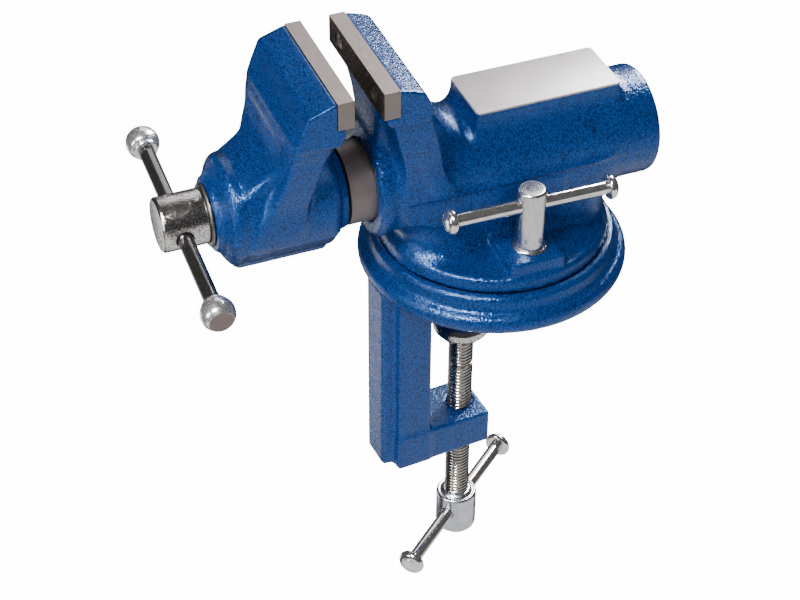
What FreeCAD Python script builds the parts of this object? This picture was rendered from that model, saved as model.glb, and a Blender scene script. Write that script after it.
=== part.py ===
import FreeCAD, Part
import math
import os
import re

import Sketcher

# Clamp-on swivel bench vise with 70 mm jaws, in millimetres.
#
# Row frame: origin on the swivel axis at the underside of the base disc, where the vise sits on
# the table. +Z is up, and -X is the way the jaw opens. The clamp frame under the table is turned
# a few degrees about the swivel axis. The pieces of the clamp frame, and every turned piece, are
# drawn in frames of their own and set in place by their Placement.

DIMENSIONS = {
    # Jaws and their hardened plates
    "jaw_width": 70.0,
    "jaw_top": 130.0,
    "fixed_face": -70.0,
    "jaw_gap": 13.1,
    "plate_thickness": 7.9,
    "plate_height": 13.8,
    "plate_screw_spacing": 44.8,
    "plate_screw_radius": 2.5,
    "plate_screw_head": 4.6,
    "plate_screw_sink": 0.4,
    "plate_screw_socket": 1.8,
    "plate_screw_length": 16.0,
    "jaw_lip": 5.2,
    "jaw_lip_setback": 2.0,
    "jaw_toe": 2.0,
    "jaw_edge": 1.0,
    "fixed_block_depth": 12.5,
    "fixed_block_drop": 4.5,
    "fixed_block_low_depth": 17.7,
    "fixed_block_heel_depth": 16.7,
    "fixed_block_foot_depth": 14.5,
    # Fixed body: barrel, anvil, neck, pedestal and swivel flange
    "screw_height": 61.0,
    "barrel_radius": 26.5,
    "barrel_front": -66.0,
    "barrel_rear": 75.0,
    "barrel_edge": 3.0,
    "collar_radius": 27.6,
    "collar_front": -67.7,
    "collar_length": 6.0,
    "collar_edge": 2.5,
    "slide_bore_radius": 19.6,
    "anvil_front": -17.2,
    "anvil_rear": 55.4,
    "anvil_width": 32.8,
    "anvil_top": 95.2,
    "flange_radius": 55.5,
    "flange_rim": 25.0,
    "flange_rim_drop": 3.0,
    "flange_rim_bevel": 2.5,
    "flange_crown": 30.0,
    "pedestal_half": 25.5,
    "pedestal_corner": 12.0,
    "lock_boss_width": 26.0,
    "lock_boss_reach": 52.0,
    "lock_boss_top": 32.0,
    "casting_overlap": 4.0,
    "label_front": -21.0,
    "label_length": 46.0,
    "label_low": 46.0,
    "label_high": 58.5,
    "label_raise": 0.8,
    # Base disc with its ring slot for the lock nut
    "base_turn": 4.2,
    "base_thickness": 18.0,
    "base_radius": 65.8,
    "base_foot_radius": 63.5,
    "base_groove_radius": 61.0,
    "base_shoulder_radius": 59.8,
    "base_rim_low": 2.5,
    "base_rim_high": 7.5,
    "base_groove_height": 10.2,
    "base_groove_lead": 0.6,
    "base_groove_flare": 2.0,
    "base_groove_rise": 1.2,
    "base_shoulder_high": 15.5,
    "base_seat_rim": 1.6,
    "ring_radius": 40.0,
    "ring_slot_width": 11.0,
    "ring_undercut_width": 17.6,
    "ring_floor": 4.0,
    "ring_lip": 11.0,
    "nut_entry_length": 24.0,
    "nut_entry_room": 1.0,
    # Clamp frame below the disc
    "rib_front": -63.4,
    "rib_half": 9.6,
    "web_front": -56.7,
    "web_half": 14.85,
    "column_inner": -38.7,
    "column_inner_edge": 3.0,
    "column_edge": 1.8,
    "arm_end": -4.8,
    "arm_top": -94.1,
    "arm_thickness": 20.0,
    "clamp_axis": -15.0,
    "clamp_bore_radius": 6.4,
    # Moving jaw and its slide
    "moving_block_depth": 12.7,
    "moving_block_drop": 5.0,
    "moving_brow_depth": 18.6,
    "moving_brow_drop": 18.3,
    "moving_foot_depth": 20.6,
    "moving_foot_drop": 22.0,
    "hull_radius": 25.7,
    "hull_front": -130.0,
    "hull_rear": -86.5,
    "hull_edge": 4.0,
    "hull_collar_radius": 20.3,
    "hull_collar_rear": -81.0,
    "nose_radius": 24.0,
    "nose_front": -142.5,
    "nose_edge": 6.0,
    "slide_radius": 19.5,
    "slide_rear": 60.0,
    "slide_inner_radius": 12.8,
    "slide_inner_front": -124.0,
    "screw_hole_room": 0.3,
    "key_slot_front": -42.0,
    "key_slot_width": 9.8,
    # Main screw
    "screw_radius": 8.0,
    "screw_rear": 45.0,
    "screw_tip_bevel": 1.5,
    "screw_bore_radius": 8.05,
    "screw_head_radius": 13.0,
    "screw_head_front": -166.0,
    "screw_head_rear": -144.3,
    "screw_head_edge": 1.2,
    "thrust_washer_radius": 15.0,
    "thrust_washer_thickness": 1.5,
    "thrust_gap": 0.2,
    "collar_ring_gap": 0.3,
    "collar_ring_radius": 12.2,
    "collar_ring_length": 8.0,
    "collar_pin_radius": 2.0,
    "collar_pin_length": 23.0,
    # Main nut and the screw that holds it in the body
    "nut_radius": 12.3,
    "nut_centre": -20.0,
    "nut_length": 28.0,
    "nut_stem_length": 14.0,
    "nut_stem_width": 9.0,
    "nut_stem_low": 33.0,
    "nut_stem_play": 0.2,
    "nut_screw_radius": 3.0,
    "nut_screw_head_radius": 5.0,
    "nut_screw_head": 5.5,
    "nut_screw_seat": 25.5,
    "nut_screw_top": 45.0,
    "nut_screw_socket": 2.4,
    "nut_screw_seat_room": 0.6,
    "nut_screw_hole_room": 0.3,
    "tapped_hole_room": 0.5,
    # Main handle
    "main_bar_radius": 3.75,
    "main_bar_hole": 4.05,
    "main_bar_x": -156.4,
    "main_bar_tilt": 7.6,
    "main_bar_near": 59.5,
    "main_bar_far": 54.5,
    "main_knob_radius": 8.0,
    "main_knob_face": 5.5,
    "main_knob_length": 12.0,
    # Swivel pivot
    "pivot_radius": 6.0,
    "pivot_bore_radius": 6.06,
    "pivot_thread_radius": 5.0,
    "pivot_thread_low": 4.0,
    "pivot_head_radius": 9.0,
    "pivot_head_room": 9.6,
    "pivot_head_low": 34.2,
    "pivot_head_top": 40.2,
    "pivot_head_gap": 0.3,
    "pivot_shoulder_gap": 0.1,
    "pivot_socket_radius": 4.0,
    "pivot_socket_depth": 3.5,
    # Lock screw, washer and ring nut
    "lock_x": 1.0,
    "lock_y": -40.0,
    "lock_shank_radius": 4.9,
    "lock_hole_radius": 5.3,
    "lock_shank_low": 5.0,
    "lock_shank_bevel": 0.6,
    "lock_head_radius": 6.8,
    "lock_head_top": 65.0,
    "lock_head_edge": 0.8,
    "lock_head_flare": 0.5,
    "lock_head_flare_height": 4.0,
    "lock_washer_radius": 8.7,
    "lock_washer_thickness": 1.5,
    "lock_nut_width": 16.8,
    "lock_nut_angle": 26.0,
    "lock_nut_low": 6.0,
    "lock_nut_height": 4.85,
    "lock_nut_bore": 4.95,
    "lock_bar_height": 56.0,
    "lock_bar_turn": -1.2,
    "lock_bar_half": 40.2,
    # Small handle bars, of the lock screw and the clamp screw
    "small_bar_radius": 3.0,
    "small_bar_hole": 3.3,
    "bar_bevel": 0.4,
    "lock_button_radius": 6.25,
    "clamp_button_radius": 6.7,
    "button_length": 5.0,
    "button_face": 4.0,
    # Clamp screw and its swivelling pad
    "clamp_screw_radius": 6.35,
    "clamp_head_radius": 10.8,
    "clamp_head_low": -184.0,
    "clamp_head_top": -159.0,
    "clamp_head_edge": 1.2,
    "clamp_screw_shoulder": -51.0,
    "clamp_tip_radius": 4.2,
    "clamp_tip_drop": 1.0,
    "clamp_bar_height": -169.0,
    "clamp_bar_turn": 39.9,
    "clamp_bar_half": 52.0,
    "pad_radius": 14.5,
    "pad_low_radius": 8.5,
    "pad_face_radius": 12.5,
    "pad_top": -37.0,
    "pad_rim_high": -39.5,
    "pad_rim_low": -43.0,
    "pad_low": -50.5,
    "pad_bore_radius": 4.5,
    "pad_recess_radius": 7.2,
    "pad_recess_depth": 4.0,
    "retainer_radius": 6.6,
    "retainer_thickness": 2.0,
    "retainer_gap": 0.3,
    # Length that a cut runs past the far side of what it opens
    "run_out": 1.0,
}

# Cast sections, from low to high. Each row is a height above the main screw; along X the front
# of the middle, the front and rear ends of the flat flank and the rear of the middle; then the
# half width across the flanks, and the half widths of the middle at the front and at the rear.
SECTION_VALUES = ("height", "front", "lead", "rear", "tail", "half", "brow", "back")
SECTIONS = {
    "neck": [
        (0, -63, -55, -35, -22, 26, 20, 20),
        (20, -66, -58, -38.5, -27, 29.5, 17, 17),
        (34, -66.5, -62, -42, -35, 31.6, 17, 17),
        (51, -66, -65, -45.5, -44.5, 33.6, 26, 26),
    ],
    "jaw": [
        (2, -130, -124, -103, -92, 25.2, 20, 15),
        (18, -128, -121, -101, -90, 28.2, 18, 13),
        (34, -119, -114, -96.5, -90, 32.5, 20, 15),
        (48, -112.5, -111.5, -93.7, -90, 34.7, 30, 25),
    ],
}
for name, sections in SECTIONS.items():
    for number, section in enumerate(sections, start=1):
        for meaning, value in zip(SECTION_VALUES, section):
            DIMENSIONS[f"{name}_{number}_{meaning}"] = float(value)

# Plans of the pedestal between flange and barrel: height, front end and rear end.
PEDESTAL = [(20, -47, 51), (53, -51, 52), (61, -53, 54)]
for number, plan in enumerate(PEDESTAL, start=1):
    for meaning, value in zip(("height", "front", "rear"), plan):
        DIMENSIONS[f"pedestal_{number}_{meaning}"] = float(value)

doc = FreeCAD.newDocument("bench_vise")
sheet = doc.addObject("Spreadsheet::Sheet", "dims")
for row, (alias, value) in enumerate(DIMENSIONS.items(), start=1):
    sheet.set(f"A{row}", alias)
    sheet.set(f"B{row}", str(value))
    sheet.setAlias(f"B{row}", alias)
doc.recompute()

subparts = []


def dim(alias):
    """One driving dimension, read from the sheet."""
    return float(getattr(sheet, alias))


def bound(text):
    """An expression over the sheet's aliases, spelt out for FreeCAD."""
    return re.sub(r"([a-z]\w+)", r"dims.\1", str(text))


def new_body(label):
    """A PartDesign body that is one sub-part."""
    body = doc.addObject("PartDesign::Body", label)
    body.Label = label
    subparts.append(body)
    return body


def new_sketch(body, plane, height=None):
    """A sketch on one of the body's origin planes, raised along the plane's normal."""
    sketch = body.newObject("Sketcher::SketchObject", f"{body.Name}_sketch")
    support = [item for item in body.Origin.OriginFeatures if item.Role == plane][0]
    sketch.AttachmentSupport = [(support, "")]
    sketch.MapMode = "FlatFace"
    if height is not None:
        sketch.setExpression("AttachmentOffset.Base.z", bound(height))
    return sketch


def pin_point(sketch, geometry, point, x, y):
    """Bind one sketch point's two coordinates to the sheet."""
    for kind, text in (("DistanceX", x), ("DistanceY", y)):
        index = sketch.addConstraint(Sketcher.Constraint(kind, -1, 1, geometry, point, 1.0))
        sketch.setExpression(f"Constraints[{index}]", bound(text))


def outline(body, plane, corners, height=None):
    """A closed outline through corners, each a pair of expressions."""
    sketch = new_sketch(body, plane, height)
    count = len(corners)
    spread = [2 * math.pi * i / count for i in range(count)]
    start = [FreeCAD.Vector(10 * math.cos(a), 10 * math.sin(a), 0) for a in spread]
    for i in range(count):
        sketch.addGeometry(Part.LineSegment(start[i], start[(i + 1) % count]), False)
    for i in range(count):
        sketch.addConstraint(Sketcher.Constraint("Coincident", i, 2, (i + 1) % count, 1))
    for i, (x, y) in enumerate(corners):
        pin_point(sketch, i, 1, x, y)
    return sketch


def rectangle(body, plane, left, right, low, high, height=None):
    """A rectangle between four expressions."""
    return outline(body, plane, [(left, low), (right, low), (right, high), (left, high)], height)


def circles(body, plane, centres, radius, height=None):
    """Equal circles about centres, each a pair of expressions."""
    sketch = new_sketch(body, plane, height)
    for x, y in centres:
        circle = Part.Circle(FreeCAD.Vector(1, 1, 0), FreeCAD.Vector(0, 0, 1), 5)
        geometry = sketch.addGeometry(circle, False)
        pin_point(sketch, geometry, 3, x, y)
        index = sketch.addConstraint(Sketcher.Constraint("Radius", geometry, 5.0))
        sketch.setExpression(f"Constraints[{index}]", bound(radius))
    return sketch


def pad(body, sketch, length, midplane=False, reverse=False):
    """Extrude a sketch along its plane's normal."""
    feature = body.newObject("PartDesign::Pad", f"{body.Name}_pad")
    feature.Profile = sketch
    feature.Midplane = midplane
    feature.Reversed = reverse
    feature.setExpression("Length", bound(length))
    doc.recompute()
    return feature


def pocket(body, sketch, length, midplane=False, reverse=False):
    """Cut a sketch out of the body. By default it cuts against the plane's normal."""
    before = body.Shape.Volume
    feature = body.newObject("PartDesign::Pocket", f"{body.Name}_pocket")
    feature.Profile = sketch
    feature.Midplane = midplane
    feature.Reversed = reverse
    feature.setExpression("Length", bound(length))
    doc.recompute()
    if not body.Shape.Volume < before:
        raise RuntimeError(f"{feature.Name} cuts nothing")
    return feature


def revolve(body, sketch, axis, angle=360.0, midplane=False):
    """Turn a sketch about its own H_Axis or V_Axis."""
    feature = body.newObject("PartDesign::Revolution", f"{body.Name}_revolution")
    feature.Profile = sketch
    feature.ReferenceAxis = (sketch, [axis])
    feature.Midplane = midplane
    feature.Angle = angle
    doc.recompute()
    return feature


def loft(body, sections):
    """Loft straight-sided walls through sections that have the same corners."""
    feature = body.newObject("PartDesign::AdditiveLoft", f"{body.Name}_loft")
    feature.Profile = sections[0]
    feature.Sections = sections[1:]
    feature.Ruled = True
    doc.recompute()
    return feature


def close(a, b):
    """True if two coordinates of an edge's centre are the same place."""
    return abs(a - b) < 0.1


def round_edges(body, radius, chosen):
    """Fillet the edges of the body that chosen(edge) picks."""
    tip = body.Tip
    names = [f"Edge{i}" for i, edge in enumerate(tip.Shape.Edges, start=1) if chosen(edge)]
    if not names:
        raise RuntimeError(f"no edge to round on {body.Label}")
    feature = body.newObject("PartDesign::Fillet", f"{body.Name}_fillet")
    feature.Base = (tip, names)
    feature.setExpression("Radius", bound(radius))
    doc.recompute()
    return feature


def place(body, x=0.0, y=0.0, z=0.0, turn=None):
    """Set a sub-part in the row frame. turn is a FreeCAD rotation."""
    body.Placement = FreeCAD.Placement(FreeCAD.Vector(x, y, z), turn or FreeCAD.Rotation())


def about(axis, degrees):
    """A rotation about X, Y or Z."""
    directions = {"X": (1, 0, 0), "Y": (0, 1, 0), "Z": (0, 0, 1)}
    return FreeCAD.Rotation(FreeCAD.Vector(*directions[axis]), degrees)


def turned(label, profile):
    """A piece turned about its own Z axis. profile is a list of (radius, height) expressions."""
    body = new_body(label)
    revolve(body, outline(body, "XZ_Plane", profile), "V_Axis")
    return body


# ---------------------------------------------------------------------------------------------
# Clamp frame: base disc, ring slot, column and arm, in one casting
# ---------------------------------------------------------------------------------------------
SLOT = "ring_slot_width / 2"
UNDERCUT = "ring_undercut_width / 2"
ARM_BOTTOM = "arm_top - arm_thickness"


def make_clamp_frame():
    """Disc with a stepped rim and an undercut ring slot, over a ribbed column and arm."""
    body = new_body("clamp_frame")
    disc = [
        (0, 0),
        ("base_foot_radius", 0),
        ("base_radius", "base_rim_low"),
        ("base_radius", "base_rim_high"),
        ("base_groove_radius + base_groove_flare", "base_groove_height - base_groove_lead"),
        ("base_groove_radius", "base_groove_height"),
        ("base_shoulder_radius", "base_groove_height + base_groove_rise"),
        ("base_shoulder_radius", "base_shoulder_high"),
        ("flange_radius + base_seat_rim", "base_thickness"),
        (f"ring_radius + {SLOT}", "base_thickness"),
        (f"ring_radius + {SLOT}", "ring_lip"),
        (f"ring_radius + {UNDERCUT}", "ring_lip"),
        (f"ring_radius + {UNDERCUT}", "ring_floor"),
        (f"ring_radius - {UNDERCUT}", "ring_floor"),
        (f"ring_radius - {UNDERCUT}", "ring_lip"),
        (f"ring_radius - {SLOT}", "ring_lip"),
        (f"ring_radius - {SLOT}", "base_thickness"),
        (0, "base_thickness"),
    ]
    revolve(body, outline(body, "XZ_Plane", disc), "V_Axis")
    column = [
        ("rib_front", "-rib_half"),
        ("web_front", "-rib_half"),
        ("web_front", "-web_half"),
        ("column_inner", "-web_half"),
        ("column_inner", "web_half"),
        ("web_front", "web_half"),
        ("web_front", "rib_half"),
        ("rib_front", "rib_half"),
    ]
    pad(body, outline(body, "XY_Plane", column, ARM_BOTTOM), f"ring_floor / 2 - ({ARM_BOTTOM})")
    arm = rectangle(
        body, "XY_Plane", "web_front", "arm_end", "-web_half", "web_half", ARM_BOTTOM
    )
    pad(body, arm, "arm_thickness")
    entry = rectangle(
        body,
        "XY_Plane",
        "-nut_entry_length / 2",
        "nut_entry_length / 2",
        f"ring_radius - {UNDERCUT} - nut_entry_room",
        f"ring_radius + {UNDERCUT} + nut_entry_room",
    )
    pocket(body, entry, "ring_floor + nut_entry_room", reverse=True)
    thread = circles(body, "XY_Plane", [(0, 0)], "pivot_thread_radius", "base_thickness")
    pocket(body, thread, "base_thickness - pivot_thread_low")
    bore = circles(body, "XY_Plane", [("clamp_axis", 0)], "clamp_bore_radius", "arm_top")
    pocket(body, bore, "arm_thickness")
    inner = dim("column_inner")
    low = dim("arm_top")
    round_edges(
        body,
        "column_inner_edge",
        lambda e: close(e.CenterOfMass.x, inner) and close(e.CenterOfMass.z, low),
    )
    half = dim("web_half")
    front = dim("web_front")
    round_edges(
        body,
        "column_edge",
        lambda e: close(e.CenterOfMass.x, front)
        and close(abs(e.CenterOfMass.y), half)
        and e.Length > dim("web_half") * 2,
    )
    place(body, turn=about("Z", dim("base_turn")))


# ---------------------------------------------------------------------------------------------
# Fixed body: jaw block, neck, barrel, anvil, pedestal and swivel flange, in one casting
# ---------------------------------------------------------------------------------------------
def cast_section(body, name, number):
    """Eight-cornered plan of a casting: flat flanks, with the middle proud at front and rear."""
    at = {meaning: f"{name}_{number}_{meaning}" for meaning in SECTION_VALUES}
    corners = [
        (at["front"], f"-{at['brow']}"),
        (at["lead"], f"-{at['half']}"),
        (at["rear"], f"-{at['half']}"),
        (at["tail"], f"-{at['back']}"),
        (at["tail"], at["back"]),
        (at["rear"], at["half"]),
        (at["lead"], at["half"]),
        (at["front"], at["brow"]),
    ]
    return outline(body, "XY_Plane", corners, f"screw_height + {at['height']}")


def cast_sections(body, name):
    """Every section of one casting, from low to high."""
    return [cast_section(body, name, number) for number in range(1, len(SECTIONS[name]) + 1)]


def pedestal_plan(body, number):
    """Rectangular plan with its corners cut off."""
    front = f"pedestal_{number}_front"
    rear = f"pedestal_{number}_rear"
    half = "pedestal_half"
    corner = "pedestal_corner"
    corners = [
        (f"{front} + {corner}", f"-{half}"),
        (f"{rear} - {corner}", f"-{half}"),
        (rear, f"{corner} - {half}"),
        (rear, f"{half} - {corner}"),
        (f"{rear} - {corner}", half),
        (f"{front} + {corner}", half),
        (front, f"{half} - {corner}"),
        (front, f"{corner} - {half}"),
    ]
    return outline(body, "XY_Plane", corners, f"pedestal_{number}_height")


def plate_screw_places():
    """The two plate screws' centres on the YZ plane."""
    height = "jaw_top - plate_height / 2"
    return [("plate_screw_spacing / 2", height), ("-plate_screw_spacing / 2", height)]


def make_vise_body():
    """The fixed half of the vise, bored for the slide."""
    body = new_body("vise_body")
    flange = [
        (0, "base_thickness"),
        ("flange_radius", "base_thickness"),
        ("flange_radius", "flange_rim - flange_rim_drop"),
        ("flange_radius - flange_rim_bevel", "flange_rim"),
        ("pedestal_half", "flange_crown"),
        (0, "flange_crown"),
    ]
    revolve(body, outline(body, "XZ_Plane", flange), "V_Axis")
    loft(body, [pedestal_plan(body, number) for number in range(1, len(PEDESTAL) + 1)])
    barrel = circles(body, "YZ_Plane", [(0, "screw_height")], "barrel_radius", "barrel_front")
    pad(body, barrel, "barrel_rear - barrel_front")
    rear = dim("barrel_rear")
    round_edges(body, "barrel_edge", lambda e: close(e.CenterOfMass.x, rear))
    collar = circles(body, "YZ_Plane", [(0, "screw_height")], "collar_radius", "collar_front")
    pad(body, collar, "collar_length")
    lip = dim("collar_front")
    round_edges(body, "collar_edge", lambda e: close(e.CenterOfMass.x, lip))
    anvil = rectangle(
        body, "XY_Plane", "anvil_front", "anvil_rear", "-anvil_width / 2", "anvil_width / 2",
        "screw_height",
    )
    pad(body, anvil, "anvil_top - screw_height")
    loft(body, cast_sections(body, "neck"))
    back = "fixed_face + plate_thickness"
    block = [
        (back, "jaw_top"),
        (f"{back} + fixed_block_depth", "jaw_top - fixed_block_drop"),
        (f"{back} + fixed_block_low_depth", "jaw_top - plate_height - jaw_edge"),
        (f"{back} + fixed_block_heel_depth", "jaw_top - plate_height - jaw_lip + jaw_edge"),
        (f"{back} + fixed_block_foot_depth", "jaw_top - plate_height - jaw_lip"),
        ("fixed_face + jaw_lip_setback + jaw_toe", "jaw_top - plate_height - jaw_lip"),
        ("fixed_face + jaw_lip_setback", "jaw_top - plate_height - jaw_lip + jaw_toe"),
        ("fixed_face + jaw_lip_setback", "jaw_top - plate_height"),
        (back, "jaw_top - plate_height"),
    ]
    pad(body, outline(body, "XZ_Plane", block), "jaw_width", midplane=True)
    boss = rectangle(
        body, "XY_Plane", "lock_x - lock_boss_width / 2", "lock_x + lock_boss_width / 2",
        "-lock_boss_reach", "casting_overlap - pedestal_half", "base_thickness + casting_overlap",
    )
    pad(body, boss, "lock_boss_top - base_thickness - casting_overlap")
    label = rectangle(
        body, "XZ_Plane", "label_front", "label_front + label_length", "label_low", "label_high"
    )
    pad(body, label, "barrel_radius + label_raise")

    bore = circles(body, "YZ_Plane", [(0, "screw_height")], "slide_bore_radius", "collar_front")
    pocket(body, bore, "barrel_rear - collar_front", reverse=True)
    stem = rectangle(
        body,
        "XY_Plane",
        "nut_centre - nut_stem_length / 2 - nut_stem_play",
        "nut_centre + nut_stem_length / 2 + nut_stem_play",
        "-nut_stem_width / 2 - nut_stem_play",
        "nut_stem_width / 2 + nut_stem_play",
        "screw_height",
    )
    pocket(body, stem, "screw_height - nut_stem_low + nut_stem_play")
    centre = [("nut_centre", 0)]
    seat = circles(body, "XY_Plane", centre, "nut_screw_head_radius + nut_screw_seat_room",
                   "base_thickness")
    pocket(body, seat, "nut_screw_seat - base_thickness", reverse=True)
    hole = circles(body, "XY_Plane", centre, "nut_screw_radius + nut_screw_hole_room",
                   "base_thickness")
    pocket(body, hole, "nut_stem_low - base_thickness", reverse=True)
    room = circles(body, "XY_Plane", [(0, 0)], "pivot_head_room", "screw_height")
    pocket(body, room, "screw_height - pivot_head_low + pivot_head_gap")
    pivot = circles(body, "XY_Plane", [(0, 0)], "pivot_bore_radius", "base_thickness")
    pocket(body, pivot, "pivot_head_low - base_thickness", reverse=True)
    lock = circles(body, "XY_Plane", [("lock_x", "lock_y")], "lock_hole_radius", "base_thickness")
    pocket(body, lock, "lock_boss_top - base_thickness + run_out", reverse=True)
    plate_holes = circles(body, "YZ_Plane", plate_screw_places(), "plate_screw_radius", back)
    pocket(body, plate_holes, "plate_screw_length - plate_thickness + run_out", reverse=True)


# ---------------------------------------------------------------------------------------------
# Moving jaw: jaw block, flanks and hull over the slide, in one casting
# ---------------------------------------------------------------------------------------------
MOVING_FACE = "fixed_face - jaw_gap"
MOVING_BACK = "fixed_face - jaw_gap - plate_thickness"


def make_moving_jaw():
    """The moving half, with the round slide that runs in the body's bore."""
    body = new_body("moving_jaw")
    hull = circles(body, "YZ_Plane", [(0, "screw_height")], "hull_radius", "hull_front")
    pad(body, hull, "hull_rear - hull_front")
    rear = dim("hull_rear")
    round_edges(body, "hull_edge", lambda e: close(e.CenterOfMass.x, rear))
    nose = circles(body, "YZ_Plane", [(0, "screw_height")], "nose_radius", "nose_front")
    pad(body, nose, "hull_front - nose_front + casting_overlap")
    front = dim("nose_front")
    round_edges(body, "nose_edge", lambda e: close(e.CenterOfMass.x, front))
    loft(body, cast_sections(body, "jaw"))
    block = [
        (MOVING_BACK, "jaw_top"),
        (f"{MOVING_BACK} - moving_block_depth", "jaw_top - moving_block_drop"),
        (f"{MOVING_BACK} - moving_brow_depth", "jaw_top - moving_brow_drop"),
        (f"{MOVING_BACK} - moving_foot_depth", "jaw_top - moving_foot_drop"),
        (f"{MOVING_FACE} - jaw_lip_setback - jaw_toe", "jaw_top - moving_foot_drop"),
        (f"{MOVING_FACE} - jaw_lip_setback", "jaw_top - plate_height - jaw_lip + jaw_edge"),
        (f"{MOVING_FACE} - jaw_lip_setback", "jaw_top - plate_height"),
        (MOVING_BACK, "jaw_top - plate_height"),
    ]
    pad(body, outline(body, "XZ_Plane", block), "jaw_width", midplane=True)
    slide = circles(body, "YZ_Plane", [(0, "screw_height")], "slide_radius",
                    "hull_rear - casting_overlap")
    pad(body, slide, "slide_rear - hull_rear + casting_overlap")
    hull_collar = circles(body, "YZ_Plane", [(0, "screw_height")], "hull_collar_radius",
                          "hull_rear - casting_overlap")
    pad(body, hull_collar, "hull_collar_rear - hull_rear + casting_overlap")
    bore = circles(
        body, "YZ_Plane", [(0, "screw_height")], "slide_inner_radius", "slide_inner_front"
    )
    pocket(body, bore, "slide_rear - slide_inner_front", reverse=True)
    screw_hole = circles(
        body, "YZ_Plane", [(0, "screw_height")], "screw_radius + screw_hole_room", "nose_front"
    )
    pocket(body, screw_hole, "slide_inner_front - nose_front + run_out", reverse=True)
    key_slot = rectangle(
        body, "XY_Plane", "key_slot_front", "slide_rear + run_out",
        "-key_slot_width / 2", "key_slot_width / 2", "screw_height",
    )
    pocket(body, key_slot, "slide_radius + run_out")
    plate_holes = circles(
        body, "YZ_Plane", plate_screw_places(), "plate_screw_radius", MOVING_BACK
    )
    pocket(body, plate_holes, "plate_screw_length - plate_thickness + run_out")


# ---------------------------------------------------------------------------------------------
# Jaw plates and their countersunk screws
# ---------------------------------------------------------------------------------------------
SINK_ANGLE = 90.0


def make_jaw_plate(label, face, outward):
    """A plate whose gripping face is at x = face. outward is +1 where it grips towards +X."""
    body = new_body(label)
    profile = rectangle(
        body, "YZ_Plane", "-jaw_width / 2", "jaw_width / 2", "jaw_top - plate_height", "jaw_top"
    )
    pad(body, profile, "plate_thickness", reverse=outward > 0)
    doc.recompute()
    before = body.Shape.Volume
    holes = body.newObject("PartDesign::Hole", f"{label}_holes")
    holes.Profile = circles(body, "YZ_Plane", plate_screw_places(), "plate_screw_radius")
    holes.Reversed = outward < 0
    holes.DepthType = "ThroughAll"
    holes.HoleCutType = "Countersink"
    holes.HoleCutCountersinkAngle = SINK_ANGLE
    holes.setExpression("Diameter", bound("plate_screw_radius * 2"))
    holes.setExpression("HoleCutDiameter", bound("plate_screw_head * 2"))
    doc.recompute()
    if not body.Shape.Volume < before:
        raise RuntimeError(f"{holes.Name} cuts nothing")
    place(body, x=face)


def make_plate_screws(label, face, outward):
    """Both countersunk screws of one plate, heads just below the gripping face."""
    body = new_body(label)
    away = -outward
    sink = "plate_screw_sink"
    cone = "plate_screw_head - plate_screw_radius - plate_screw_sink"
    for side in ("", "-"):
        centre = [(f"{side}plate_screw_spacing / 2", 0)]
        shank = circles(body, "YZ_Plane", centre, "plate_screw_radius", f"{away} * ({sink})")
        pad(body, shank, f"plate_screw_length - {sink}", reverse=away < 0)
        cap = circles(body, "YZ_Plane", centre, f"plate_screw_head - {sink}",
                      f"{away} * ({sink})")
        head = pad(body, cap, cone, reverse=away < 0)
        head.TaperAngle = -SINK_ANGLE / 2
        doc.recompute()
        socket = circles(body, "YZ_Plane", centre, "plate_screw_socket", f"{away} * ({sink})")
        pocket(body, socket, cone, reverse=away > 0)
    place(body, x=face, z=dim("jaw_top") - dim("plate_height") / 2)


# ---------------------------------------------------------------------------------------------
# Main screw group
# ---------------------------------------------------------------------------------------------
def lie_along_x():
    """Turns a piece's own Z axis onto +X, keeping its own Y on the tilted handle's line."""
    return about("X", dim("main_bar_tilt")).multiply(about("Y", 90))


def make_main_screw():
    """Head, rod and the cross hole for the handle, in one turned piece."""
    front = "screw_head_front"
    rear = "screw_head_rear"
    body = turned("main_screw", [
        (0, front),
        ("screw_head_radius - screw_head_edge", front),
        ("screw_head_radius", f"{front} + screw_head_edge"),
        ("screw_head_radius", rear),
        ("screw_radius", rear),
        ("screw_radius", "screw_rear - screw_tip_bevel"),
        ("screw_radius - screw_tip_bevel", "screw_rear"),
        (0, "screw_rear"),
    ])
    across = circles(body, "XZ_Plane", [(0, "main_bar_x")], "main_bar_hole")
    pocket(body, across, "screw_head_radius * 2 + run_out", midplane=True)
    ring_front = "slide_inner_front + collar_ring_gap"
    pin_at = f"{ring_front} + collar_ring_length / 2"
    pin = circles(body, "XZ_Plane", [(0, pin_at)], "collar_pin_radius")
    pocket(body, pin, "screw_radius * 2 + run_out", midplane=True)
    place(body, z=dim("screw_height"), turn=lie_along_x())

    washer_rear = "nose_front - thrust_gap"
    washer = turned("thrust_washer", [
        ("screw_radius + screw_hole_room", f"{washer_rear} - thrust_washer_thickness"),
        ("thrust_washer_radius", f"{washer_rear} - thrust_washer_thickness"),
        ("thrust_washer_radius", washer_rear),
        ("screw_radius + screw_hole_room", washer_rear),
    ])
    place(washer, z=dim("screw_height"), turn=lie_along_x())

    ring = turned("retaining_ring", [
        ("screw_radius", ring_front),
        ("collar_ring_radius", ring_front),
        ("collar_ring_radius", f"{ring_front} + collar_ring_length"),
        ("screw_radius", f"{ring_front} + collar_ring_length"),
    ])
    hole = circles(ring, "XZ_Plane", [(0, pin_at)], "collar_pin_radius")
    pocket(ring, hole, "collar_ring_radius * 2 + run_out", midplane=True)
    place(ring, z=dim("screw_height"), turn=lie_along_x())

    rod = new_body("ring_pin")
    pin = circles(rod, "XZ_Plane", [(0, pin_at)], "collar_pin_radius")
    pad(rod, pin, "collar_pin_length", midplane=True)
    place(rod, z=dim("screw_height"), turn=lie_along_x())


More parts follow.
